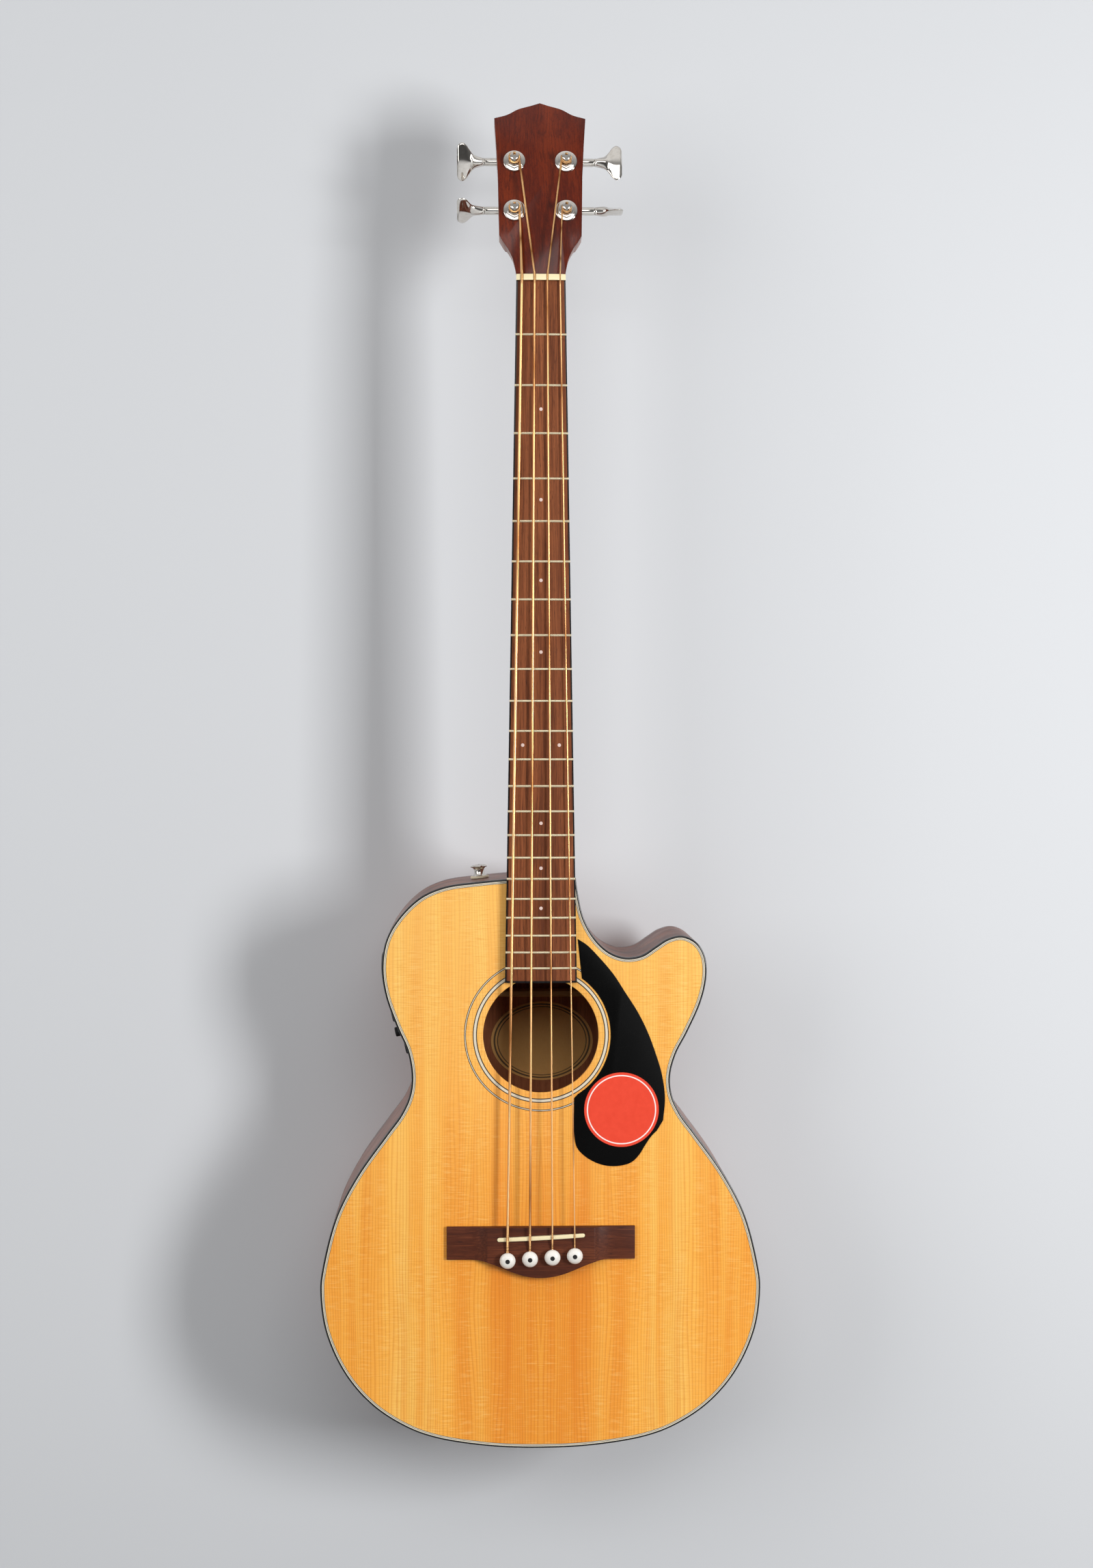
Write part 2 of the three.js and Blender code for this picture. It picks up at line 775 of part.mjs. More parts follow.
// A rounded bar across the back, fitted to the inside of its dome
function backBrace(drop) {
  const back = backDepth(-drop);
  const low = back - backThickness - backBraceHeight;
  const half = backBraceWidth / 2;
  const profile = [
    new THREE.Vector2(-half, back + overrun),
    new THREE.Vector2(-half, low + half),
    new THREE.Vector2(-half / 2, low),
    new THREE.Vector2(half / 2, low),
    new THREE.Vector2(half, low + half),
    new THREE.Vector2(half, back + overrun),
  ];
  const whole = bar(profile, -bodyWidth / 2, bodyWidth / 2).rotate([0, 90, 0]);
  const placed = whole.translate([0, 0, -drop]);
  const fitted = placed.intersect(innerPrism(liningInner + seat));
  return cut(fitted, tailBlockRoom(), backSkin(seat, liningHeight));
}

// Neck, fingerboard and nut
const headstock = new THREE.Group();
headstock.position.z = nutLength;
headstock.rotation.x = -headstockTilt * degrees;
headstock.updateMatrixWorld(true);
const inHeadstock = (body) => body.transform(headstock.matrixWorld.elements);
const headstockPoint = (x, y, z) => vector(x, y, z).applyMatrix4(headstock.matrixWorld);

function neckRing(z, depth) {
  const half = boardHalfWidth(Math.max(-z, 0));
  const steps = 10;
  return Array.from({ length: steps + 1 }, (_, i) => {
    const angle = (Math.PI * i) / steps;
    return vector(half * Math.cos(angle), depth * Math.sin(angle), z);
  });
}

function headstockOutline() {
  const scaled = (shares) =>
    shares.map(([across, up]) => [(across * headstockWidth) / 2, up * headstockLength]);
  const flare = scaled(flareShares);
  const right = [
    ...smooth(flare, 2),
    ...scaled(edgeShares).map(([x, z]) => new THREE.Vector2(x, z)),
    ...smooth(scaled([edgeShares[edgeShares.length - 1], ...crestShares]), 3).slice(1),
  ];
  const left = right
    .slice(0, -1)
    .map((point) => new THREE.Vector2(-point.x, point.y))
    .reverse();
  return [...right, ...left];
}

function neck() {
  const end = bodyTop + seat;
  const heelStart = end + heelLength;
  const stations = [
    [nutLength, neckDepthAtNut],
    [0, neckDepthAtNut],
    [heelStart / 2, (neckDepthAtNut + neckDepthAtHeel) / 2],
    [heelStart, neckDepthAtHeel],
    ...heelShares.map(([along, deep]) => [
      heelStart - along * heelLength,
      neckDepthAtHeel + deep * (heelDepth - neckDepthAtHeel),
    ]),
  ];
  const shaft = loft(stations.map(([z, depth]) => neckRing(z, depth)));
  const slab = inHeadstock(plate(headstockOutline(), 0, headstockThickness));
  const aboveBoard = block(
    vector(-nutWidth, -headstockThickness * 2, -headstockLength / 2),
    vector(nutWidth, 0, nutLength),
  );
  const tenon = block(
    vector(-tenonWidth / 2, tenonTop, bodyTop - tenonLength),
    vector(tenonWidth / 2, tenonTop + tenonDepth, end + overrun),
  );
  const heelEnd = block(
    vector(-nutWidth, heelFace, end - overrun),
    vector(nutWidth, heelDepth + overrun, heelStart),
  );
  const holes = postHeights.flatMap((height) =>
    [-1, 1].map((side) =>
      inHeadstock(
        rod(
          sleeveRadius + seat,
          vector((side * postSpread) / 2, -overrun, height),
          vector((side * postSpread) / 2, headstockThickness + overrun, height),
          12,
        ),
      ),
    ),
  );
  const channel = block(
    vector(-rodRadius - seat, -overrun, bodyTop - overrun),
    vector(rodRadius + seat, rodDrop + rodRadius + seat, -rodStart + seat),
  );
  const channelEnd = block(
    vector(-rodRadius * 2, -overrun, bodyTop - overrun * 2),
    vector(rodRadius * 2, tenonTop, bodyTop),
  );
  return cut(
    join(shaft, cut(slab, aboveBoard), tenon),
    heelEnd,
    cut(channel, channelEnd),
    rodHole(rodRadius + seat),
    ...holes,
  );
}

const heelFace = depthAtNeck - heelCapThickness - seat;
function heelCap() {
  const end = bodyTop + seat;
  const depth = heelFace + seat;
  const half = boardHalfWidth(-end) * Math.sqrt(1 - (depth / heelDepth) ** 2);
  const reach = heelLength * heelTrimShare;
  const rounded = smooth(
    [[half, end], [half * 0.86, end + reach * 0.6], [0, end + reach], [-half * 0.86, end + reach * 0.6], [-half, end]],
    4,
  );
  return plate(rounded, depth, depth + heelCapThickness);
}
const heelTrimShare = 0.04;

// The fingerboard and its frets in one piece, with the frets' crowns standing out of it
function fingerboard() {
  const ring = (drop, rise) => {
    const half = boardHalfWidth(drop);
    const crest = [-1, -1 / 3, 1 / 3, 1].map((share) => {
      const x = share * half;
      return vector(x, -boardThickness - rise + crown(x), -drop);
    });
    return [vector(half, 0, -drop), vector(-half, 0, -drop), ...crest];
  };
  const rings = [ring(0, 0)];
  for (let fret = 1; fret <= fretCount; fret++) {
    const drop = fretDrop(fret);
    const foot = fretWidth / 2;
    rings.push(ring(drop - foot, 0), ring(drop - foot / 2, fretHeight));
    rings.push(ring(drop + foot / 2, fretHeight), ring(drop + foot, 0));
  }
  rings.push(ring(boardEnd, 0));
  return loft(rings);
}

function nut(stringCuts) {
  const half = nutWidth / 2;
  const crest = [1, 0.5, 0, -0.5, -1].map((share) => {
    const x = share * half;
    return new THREE.Vector2(x, -nutHeight + crown(x));
  });
  const profile = [new THREE.Vector2(-half, 0), new THREE.Vector2(half, 0), ...crest];
  return cut(bar(profile, 0, nutLength), ...stringCuts);
}

// Truss rod under the fingerboard, adjusted through the soundhole
const rodStart = 12;
const rodEnd = bodyTop - neckBlockLength - rodNutLength / 4;
const rodHole = (radius) =>
  rod(radius, vector(0, rodDrop, rodEnd - overrun), vector(0, rodDrop, -rodStart - overrun), 12);
const trussRod = () =>
  rod(rodRadius, vector(0, rodDrop, rodEnd), vector(0, rodDrop, -rodStart), 12);

function trussNut() {
  const barrel = rod(
    rodNutRadius,
    vector(0, rodDrop, rodEnd - rodNutLength),
    vector(0, rodDrop, rodEnd + rodNutLength / 8),
    16,
  );
  const key = rod(
    rodKeyRadius,
    vector(0, rodDrop, rodEnd - rodNutLength - overrun),
    vector(0, rodDrop, rodEnd - rodNutLength + rodKeyDepth),
    6,
  );
  const socket = rod(
    rodRadius + seat,
    vector(0, rodDrop, rodEnd - seat),
    vector(0, rodDrop, rodEnd + rodNutLength),
    12,
  );
  return cut(barrel, key, socket);
}

// Places of the strings at the nut, the saddle and the pins
const spread = (i, width) => -width / 2 + (i * width) / (stringNames.length - 1);
const saddleAngle = saddleSlant * degrees;
const saddleZ = (x) => -saddleDrop + x * Math.tan(saddleAngle);
const pinZ = (x) => -pinDrop + x * Math.tan(pinSlant * degrees);
const pinSpots = stringNames.map((_, i) => {
  const x = spread(i, stringSpreadAtSaddle);
  return new THREE.Vector2(x, pinZ(x));
});
function pinHoles(depth) {
  return pinSpots.map((spot) =>
    rod(
      pinShaftRadius + seat,
      vector(spot.x, -bridgeThickness - overrun, spot.y),
      vector(spot.x, depth, spot.y),
      10,
    ),
  );
}

const windingFoot = seat + flangeThickness + hexHeight + collarHeight + runningGap;
const postOf = [
  [-1, 0],
  [-1, 1],
  [1, 1],
  [1, 0],
];

// One unbroken string: ball end, pin hole, saddle, nut, and its turns round the post
function stringPath(i) {
  const radius = stringDiameters[i] / 2;
  const atNut = spread(i, stringSpreadAtNut);
  const spot = pinSpots[i];
  const under = topThickness + seat + bridgePlateThickness + seat;
  const ballRadius = radius + ballExtra;
  const ballOffset = pinFluteFloor + seat + ballRadius;
  const overNut = -stringLiftAtNut - radius + crown(atNut);
  const overSaddle = -stringLiftAtSaddle - radius + crown(spot.x);
  const slope = (overNut - overSaddle) / -saddleZ(spot.x);
  const path = [
    vector(spot.x, under + ballRadius, spot.y + ballOffset),
    vector(spot.x, topThickness + seat / 2, spot.y + stringOffset),
    vector(spot.x, -bridgeThickness + radius, spot.y + stringOffset),
    vector(spot.x, -bridgeThickness - radius / 2, spot.y + stringOffset + radius),
    vector(spot.x, overSaddle + radius / 4, saddleZ(spot.x) - saddleThickness / 2),
    vector(spot.x, overSaddle + radius * slope, saddleZ(spot.x) + saddleThickness / 2),
    vector(atNut, overNut, 0),
    vector(atNut, overNut + radius / 4, nutLength * 0.8),
  ];

  const [side, row] = postOf[i];
  const centre = new THREE.Vector2((side * postSpread) / 2, postHeights[row]);
  const loop = postWaist + runningGap + radius;
  const nutExit = path[path.length - 1].clone().applyMatrix4(headstock.matrixWorld.clone().invert());
  const reach = centre.clone().sub(new THREE.Vector2(nutExit.x, nutExit.z));
  const heading = reach.angle() + side * Math.asin(loop / reach.length());
  const start = heading + (side * Math.PI) / 2;
  const height = windingFoot + radius;
  const pitch = stringDiameters[i] + windingGap;
  const steps = Math.round(loopSteps * stringTurns[i]);
  for (let k = 0; k <= steps; k++) {
    const turn = k / loopSteps;
    const angle = start - side * 2 * Math.PI * turn;
    path.push(
      headstockPoint(
        centre.x + loop * Math.cos(angle),
        -height - pitch * turn,
        centre.y + loop * Math.sin(angle),
      ),
    );
  }
  return { path, radius, ballRadius, firstLoop: path.length - steps - 1 };
}

function stringBody({ path, radius, ballRadius }) {
  const ball = new THREE.SphereGeometry(ballRadius, 8, 6).translate(...path[0]);
  return join(tube(path, radius, stringSides), solid(ball));
}

// Least space between one winding's turns, measured between points of its middle line
function turnGap({ path, radius, firstLoop }) {
  let least = Infinity;
  for (let i = firstLoop; i < path.length; i++) {
    for (let k = i + loopSteps / 2; k < path.length; k++) {
      least = Math.min(least, path[i].distanceTo(path[k]));
    }
  }
  return least - 2 * radius;
}

// Bridge, saddle and pins
function bridge(stringCuts) {
  const half = bridgeWidth / 2;
  const top = -bridgeTopDrop;
  const wing = top - bridgeWingLength;
  const belly = top - bridgeLength;
  const shape = new THREE.Shape();
  shape.moveTo(half, top);
  shape.lineTo(-half, top);
  shape.lineTo(-half, wing);
  shape.lineTo(-half * 0.71, wing);
  shape.bezierCurveTo(-half * 0.47, wing, -half * 0.31, belly, 0, belly);
  shape.bezierCurveTo(half * 0.31, belly, half * 0.47, wing, half * 0.71, wing);
  shape.lineTo(half, wing);
  const whole = plate(shape.getPoints(7), -bridgeThickness, 0);
  const blockHalf = bridgeBlockWidth / 2;
  const fall = bridgeThickness - bridgeWingThickness;
  const scoop = [-1, 1].map((side) => {
    const floor = smooth(
      [[0, 0], [0.22, 0.5], [0.55, 0.86], [1, 1]].map(([along, down]) => [
        side * (blockHalf + along * bridgeScoop),
        -bridgeThickness + down * fall,
      ]),
      2,
    );
    const profile = [
      ...floor,
      new THREE.Vector2(side * (half + overrun), -bridgeWingThickness),
      new THREE.Vector2(side * (half + overrun), -bridgeThickness - overrun),
      new THREE.Vector2(side * blockHalf, -bridgeThickness - overrun),
    ];
    return bar(profile, belly - overrun, top + overrun);
  });
  const slot = saddlePlan(seat).intersect(
    block(
      vector(-bridgeWidth, -bridgeThickness - overrun, belly),
      vector(bridgeWidth, -bridgeThickness + saddleSlot, top),
    ),
  );
  return cut(whole, ...scoop, slot, ...pinHoles(overrun), ...stringCuts);
}

function saddlePlan(clearance) {
  const half = saddleLength / 2 - saddleThickness / 2;
  const radius = saddleThickness / 2 + clearance;
  const shape = new THREE.Shape();
  shape.absarc(half, 0, radius, -Math.PI / 2, Math.PI / 2);
  shape.absarc(-half, 0, radius, Math.PI / 2, Math.PI * 1.5);
  const plan = plate(shape.getPoints(6), -bridgeThickness - overrun * 2, overrun);
  return turnInPlane(plan, saddleSlant, 0, -saddleDrop);
}

function saddle() {
  const half = saddleLength / 2;
  const crest = [1, 0.6, 0.2, -0.2, -0.6, -1].map((share) => {
    const x = share * half;
    return new THREE.Vector2(x, -stringLiftAtSaddle + seat + crown(x));
  });
  const bottom = -bridgeThickness + saddleSlot - seat;
  const profile = [new THREE.Vector2(-half, bottom), new THREE.Vector2(half, bottom), ...crest];
  const tall = bar(profile, -bridgeTopDrop - bridgeLength, -bridgeTopDrop);
  return tall.intersect(saddlePlan(0));
}

// A bridge pin: a low ball head over a tapered shaft with a flute for its string
function bridgePin(spot) {
  const face = bridgeThickness + seat;
  const middle = face + pinHeadHeight / 2;
  const head = [90, 60, 30, 0, -30, -60].map((angle) => [
    pinHeadRadius * Math.cos(angle * degrees),
    -(middle + (pinHeadHeight / 2) * Math.sin(angle * degrees)),
  ]);
  const shaftEnd = -face + pinShaftLength;
  const profile = [
    ...head,
    [pinShaftRadius, -face - seat],
    [pinTipRadius, shaftEnd - pinTipRadius / 2],
    [pinTipRadius / 2, shaftEnd],
    [0, shaftEnd],
  ];
  const flute = block(
    vector(-pinFluteWidth / 2, -face - pinHeadHeight * 0.3, pinFluteFloor),
    vector(pinFluteWidth / 2, shaftEnd + overrun, pinHeadRadius + overrun),
  );
  return cut(turned(profile, 10), flute).translate([spot.x, 0, spot.y]);
}

function pickguard() {
  const left = boardHalfWidth(guardDrop) + guardInset - guardWidth * 0.04;
  const place = ([across, down]) => [left + across * guardWidth, -guardDrop - down * guardHeight];
  const outer = smooth(guardShares.map(place), 2);
  const lower = smooth(guardTailShares.map(place), 2);
  const arcRadius = rosetteInner + rosetteWidth + guardInset;
  const inner = [];
  for (let angle = -58; angle <= 54; angle += 8) {
    inner.push(
      new THREE.Vector2(
        arcRadius * Math.cos(angle * degrees),
        -soundholeDrop + arcRadius * Math.sin(angle * degrees),
      ),
    );
  }
  const whole = plate([...outer, ...lower, ...inner].reverse(), -guardThickness, 0);
  return cut(whole, boardRoom());
}

// The space over the top that the fingerboard fills, with a gap round it
function boardRoom() {
  const room = [[0, nutWidth / 2], [boardEnd + seat, boardHalfWidth(boardEnd)]];
  const right = room.map(([drop, half]) => new THREE.Vector2(half + seat, -drop));
  const left = room.map(([drop, half]) => new THREE.Vector2(-half - seat, -drop)).reverse();
  return plate([...right, ...left].reverse(), -boardThickness, overrun);
}

const rosette = () =>
  plate(
    circle(rosetteInner + rosetteWidth, 0, -soundholeDrop, 36),
    0,
    rosetteDepth,
    [circle(rosetteInner, 0, -soundholeDrop, 36).reverse()],
  );

// Tuning machine in its own frame: the post along Y at the origin, the key out along +X
const wormOffset = gearPitchRadius + wormPitchRadius;
const lead = (2 * Math.PI * gearPitchRadius) / gearTeeth;
const gearDepth = headstockThickness + seat + gearPlane;

function bushing() {
  const foot = -seat;
  const flangeTop = foot - flangeThickness;
  const hexTop = flangeTop - hexHeight;
  const round = turned(
    [
      [postRadius + runningGap, foot + sleeveLength],
      [sleeveRadius, foot + sleeveLength],
      [sleeveRadius, foot],
      [flangeRadius, foot],
      [flangeRadius, foot - flangeThickness / 2],
      [flangeRadius * 0.93, flangeTop],
      [collarRadius, flangeTop],
      [collarRadius, hexTop - collarHeight],
      [postRadius + runningGap, hexTop - collarHeight],
      [postRadius + runningGap, foot + sleeveLength],
    ],
    12,
  );
  const nutShape = cut(
    rod(hexRadius, vector(0, flangeTop + overrun / 8, 0), vector(0, hexTop, 0), 6),
    rod(collarRadius - seat, vector(0, flangeTop + overrun, 0), vector(0, -overrun * 3, 0), 12),
  );
  return join(round, nutShape);
}

// The worm wheel, its teeth slanted to follow the worm's thread
function wormWheel() {
  const outer = gearPitchRadius + toothAddendum;
  const root = gearPitchRadius - toothDedendum;
  const pitchAngle = (2 * Math.PI) / gearTeeth;
  const slant = Math.atan(lead / (2 * Math.PI * wormPitchRadius));
  const twist = (gearThickness * Math.tan(slant)) / gearPitchRadius;
  const edge = [
    [-0.5 * toothThickness * 1.25, root],
    [-0.5 * toothThickness * 0.7, outer],
    [0.5 * toothThickness * 0.7, outer],
    [0.5 * toothThickness * 1.25, root],
  ];
  const layer = (depth, turn) => {
    const ring = [];
    for (let tooth = 0; tooth < gearTeeth; tooth++) {
      edge.forEach(([half, radius]) => {
        const angle = Math.PI / 2 + tooth * pitchAngle + half / radius + turn;
        ring.push(vector(radius * Math.cos(angle), depth, radius * Math.sin(angle)));
      });
    }
    return ring;
  };
  return loft([
    layer(gearDepth - gearThickness / 2, -twist / 2),
    layer(gearDepth + gearThickness / 2, twist / 2),
  ]);
}

function post() {
  const foot = -windingFoot;
  const crest = foot - postWinding;
  const tip = gearDepth + gearThickness / 2 + housingWall / 2;
  const column = turned(
    [
      [0, crest - postLip],
      [postRadius, crest - postLip],
      [postRadius, crest],
      [postWaist, crest + seat],
      [postWaist, foot],
      [postRadius, foot + seat],
      [postRadius, gearDepth - gearThickness / 2],
      [postWaist, gearDepth - gearThickness / 2],
      [postWaist, tip],
      [0, tip],
    ],
    12,
  );
  const slotFloor = foot - postWinding / 2;
  const slot = block(
    vector(-postSlot / 2, crest - postLip - overrun, -postRadius * 2),
    vector(postSlot / 2, slotFloor, postRadius * 2),
  );
  return join(cut(column, slot), wormWheel());
}

// The worm's thread is one strip wound along its shaft, half a pitch out of step with the
// wheel's teeth, so that the two mesh.
function wormThread() {
  const outer = wormPitchRadius + toothAddendum;
  const core = wormPitchRadius - toothDedendum - seat / 2;
  const turns = (wormLength - lead) / lead;
  const steps = Math.round(turns * 9);
  const wide = toothThickness * 0.62;
  const narrow = toothThickness * 0.36;
  const rings = [];
  for (let k = 0; k <= steps; k++) {
    const turn = (k / steps - 0.5) * turns;
    const angle = turn * 2 * Math.PI - Math.PI / 2;
    const along = (turn + 0.5) * lead;
    const at = (radius, shift) =>
      vector(
        along + shift,
        gearDepth + radius * Math.cos(angle),
        wormOffset + radius * Math.sin(angle),
      );
    rings.push([at(core, -wide), at(outer, -narrow), at(outer, narrow), at(core, wide)]);
  }
  return loft(rings);
}

function keyAndWorm(turn) {
  const axis = (x) => vector(x, gearDepth, wormOffset);
  const wormHalf = wormLength / 2 + lead / 2;
  const inner = -wormHalf - housingWall / 2;
  const outer = stemEnd + keyGap + keyLength / 8;
  const shaft = rod(shaftRadius, axis(inner), axis(outer), 10);
  const half = keyWidth / 2;
  const start = stemEnd + keyGap;
  const rings = keyShares.map(([inward, wide]) => {
    const x = start + keyLength * (1 - inward);
    const reach = wide * half;
    const core = (keyCore / 2) * (inward < 0.1 ? 0.8 : 1);
    const rim = Math.min(keyEdge / 2, core);
    const bend = Math.max(reach - keyEdge / 2, reach * 0.6);
    return [
      [reach, 0], [bend, rim], [0, core], [-bend, rim],
      [-reach, 0], [-bend, -rim], [0, -core], [bend, -rim],
    ].map(([up, out]) => {
      const place = new THREE.Vector2(out, up).rotateAround(
        new THREE.Vector2(0, 0),
        turn * degrees,
      );
      return vector(x, gearDepth + place.x, wormOffset + place.y);
    });
  });
  return join(shaft, wormThread(), loft(rings));
}

const stemEnd = 8.3 + housingWall / 2 + 16;

// The housing is a cast cup that faces the headstock, with a stem that carries the key.
function housing() {
  const front = headstockThickness + seat;
  const back = front + housingDepth;
  const gearPocket = gearPitchRadius + toothAddendum + pocketGap;
  const wormPocket = wormPitchRadius + toothAddendum + pocketGap;
  const wormHalf = wormLength / 2 + lead / 2 + seat;
  const round = rod(gearPocket + housingWall, vector(0, front, 0), vector(0, back, 0), 14);
  const cheek = block(
    vector(-wormHalf - housingWall, front, 0),
    vector(wormHalf + housingWall, back, wormOffset + wormPocket + housingWall),
  );
  const ear = rod(
    earLength / 2 + earScrewRadius / 2,
    vector(0, front, -gearPocket - housingWall - earLength / 4),
    vector(0, front + housingWall, -gearPocket - housingWall - earLength / 4),
    10,
  );
  const stem = rod(
    stemRadius,
    vector(wormHalf, gearDepth, wormOffset),
    vector(stemEnd, gearDepth, wormOffset),
    10,
  );
  const gearRoom = rod(
    gearPocket,
    vector(0, front - overrun, 0),
    vector(0, back - housingWall, 0),
    14,
  );
  const wormRoom = block(
    vector(-wormHalf, front - overrun, 0),
    vector(wormHalf, gearDepth + wormPocket, wormOffset + wormPocket),
  );
  const shaftBore = rod(
    shaftRadius + runningGap,
    vector(-wormHalf - housingWall / 2 - seat, gearDepth, wormOffset),
    vector(stemEnd + overrun, gearDepth, wormOffset),
    10,
  );
  const postBore = rod(
    postWaist + runningGap,
    vector(0, front, 0),
    vector(0, gearDepth + gearThickness / 2 + housingWall / 2 + runningGap, 0),
    12,
  );
  const screwHole = rod(
    earScrewRadius,
    vector(0, front - overrun, -gearPocket - housingWall - earLength / 2),
    vector(0, front + overrun, -gearPocket - housingWall - earLength / 2),
    8,
  );
  return cut(
    join(round, cheek, ear, stem),
    gearRoom,
    wormRoom,
    shaftBore,
    postBore,
    screwHole,
  );
}

function addTuner(i) {
  const [side, row] = postOf[i];
  const name = stringNames[i];
  const mirror = side < 0 ? (body) => body.mirror([1, 0, 0]) : (body) => body;
  const spot = new THREE.Group();
  spot.position.set((side * postSpread) / 2, 0, postHeights[row]);
  headstock.add(spot);
  piece(`tuner_bushing_${name}`, mirror(bushing()), "chrome", spot);
  piece(`tuner_post_${name}`, mirror(post()), "chrome", spot);
  piece(`tuner_key_${name}`, mirror(keyAndWorm(keyTurns[i])), "chrome", spot);
  piece(`tuner_housing_${name}`, mirror(housing()), "chrome", spot);
}

// Preamp on the bass side: its frame has X along the panel towards the tail, Y into the
// body's depth and Z out of the side
const preampFrame = preampPlace();
function preampPlace() {
  const bass = outline.slice(0, tailIndex);
  const at = (drop) => {
    const i = bass.findIndex((point) => point.y < -drop && point.x < -bodyWidth / 4);
    const [a, b] = [bass[i - 1], bass[i]];
    return a.clone().lerp(b, (a.y + drop) / (a.y - b.y));
  };
  const upper = at(preampDrop - preampLength / 2);
  const lower = at(preampDrop + preampLength / 2);
  const along = lower.clone().sub(upper).normalize();
  const outward = new THREE.Vector2(along.y, -along.x);
  const reach = Math.max(...bass.map((point) =>
    Math.abs(point.clone().sub(upper).dot(along) - preampLength / 2) < preampLength / 2
      ? point.clone().sub(upper).dot(outward)
      : 0,
  ));
  const centre = upper.clone().lerp(lower, 0.5).addScaledVector(outward, reach);
  return new THREE.Matrix4()
    .makeBasis(
      vector(along.x, 0, along.y),
      vector(0, 1, 0).negate(),
      vector(outward.x, 0, outward.y),
    )
    .setPosition(centre.x, preampCentre, centre.y);
}
const inPreamp = (body) => body.transform(preampFrame.elements);

function preampPanel() {
  const half = vector(preampLength / 2, preampWidth / 2, 0);
  const blank = block(
    vector(-half.x, -half.y, -preampBlank),
    vector(half.x, half.y, preampProud),
  );
  const shell = cut(inPreamp(blank), innerPrism(-seat));
  const box = block(
    vector(-preampBoxLength / 2, -preampBoxWidth / 2, -preampBoxDepth),
    vector(preampBoxLength / 2, preampBoxWidth / 2, preampProud / 2),
  );
  const shaftHoles = knobPlaces.map((place) =>
    rod(
      knobStem + runningGap,
      vector(place, 0, preampProud - knobStemLength - seat),
      vector(place, 0, preampProud + overrun),
      12,
    ),
  );
  const buttonHole = rod(
    tunerButtonRadius + runningGap,
    vector(tunerButtonPlace, 0, preampProud - knobStemLength),
    vector(tunerButtonPlace, 0, preampProud + overrun),
    12,
  );
  const halfDoor = doorLength / 2 + seat;
  const recess = block(
    vector(doorPlace - halfDoor, -doorWidth / 2 - seat, preampProud - doorThickness - seat),
    vector(doorPlace + halfDoor, doorWidth / 2 + seat, preampProud + overrun),
  );
  const [across, thick] = [batteryWidth / 2 + seat, batteryThickness / 2 + seat];
  const wall = preampProud * 0.75;
  const sleeve = block(
    vector(doorPlace - across - wall, -thick - wall, -batteryLength),
    vector(doorPlace + across + wall, thick + wall, preampProud / 2),
  );
  const bay = block(
    vector(doorPlace - across, -thick, -batteryLength + wall),
    vector(doorPlace + across, thick, preampProud + overrun),
  );
  return cut(
    join(shell, inPreamp(box), inPreamp(sleeve)),
    ...[...shaftHoles, buttonHole, recess, bay].map(inPreamp),
  );
}

function sideCutout() {
  const box = block(
    vector(-preampBoxLength / 2 - seat, -preampBoxWidth / 2 - seat, -preampBoxDepth),
    vector(preampBoxLength / 2 + seat, preampBoxWidth / 2 + seat, overrun * 2),
  );
  const across = batteryWidth / 2 + preampProud * 0.75 + seat * 2;
  const thick = batteryThickness / 2 + preampProud * 0.75 + seat * 2;
  const sleeve = block(
    vector(doorPlace - across, -thick, -preampBoxDepth),
    vector(doorPlace + across, thick, overrun * 2),
  );
  return inPreamp(join(box, sleeve));
}

function preampKnob(place) {
  const top = preampProud + seat + knobHeight;
  const profile = [
    [0, top],
    [knobRadius * 0.86, top],
    [knobRadius, top - knobRadius / 8],
    [knobRadius, preampProud + seat],
    [knobStem, preampProud + seat],
    [knobStem, preampProud - knobStemLength],
    [0, preampProud - knobStemLength],
  ];
  const pointer = block(
    vector(-knobStem / 4, -knobRadius * 2, top - knobStem / 4),
    vector(knobStem / 4, -knobRadius / 2, top + overrun),
  );
  const upright = turned(profile, 12).rotate([90, 0, 0]);
  return inPreamp(cut(upright, pointer).translate([place, 0, 0]));
}

function tunerButton() {
  const low = preampProud - knobStemLength + tunerButtonTravel + seat;
  const high = preampProud + tunerButtonTravel + seat;
  const body = rod(
    tunerButtonRadius,
    vector(tunerButtonPlace, 0, low),
    vector(tunerButtonPlace, 0, high),
    12,
  );
  return inPreamp(body);
}

// The battery door swings on a knuckle along its end nearest the neck.
function batteryDoor() {
  const radius = doorThickness / 2;
  const hinge = doorPlace - doorLength / 2 + radius;
  const end = doorPlace + doorLength / 2;
  const leaf = block(
    vector(hinge, -doorWidth / 2, preampProud - doorThickness),
    vector(end, doorWidth / 2, preampProud),
  );
  const knuckle = rod(
    radius,
    vector(hinge, -doorWidth / 2, preampProud - radius),
    vector(hinge, doorWidth / 2, preampProud - radius),
    12,
  );
  const grip = block(
    vector(end - doorThickness * 1.5, -doorWidth / 4, preampProud - doorThickness),
    vector(end - radius, doorWidth / 4, preampProud + radius),
  );
  return inPreamp(join(leaf, knuckle, grip));
}

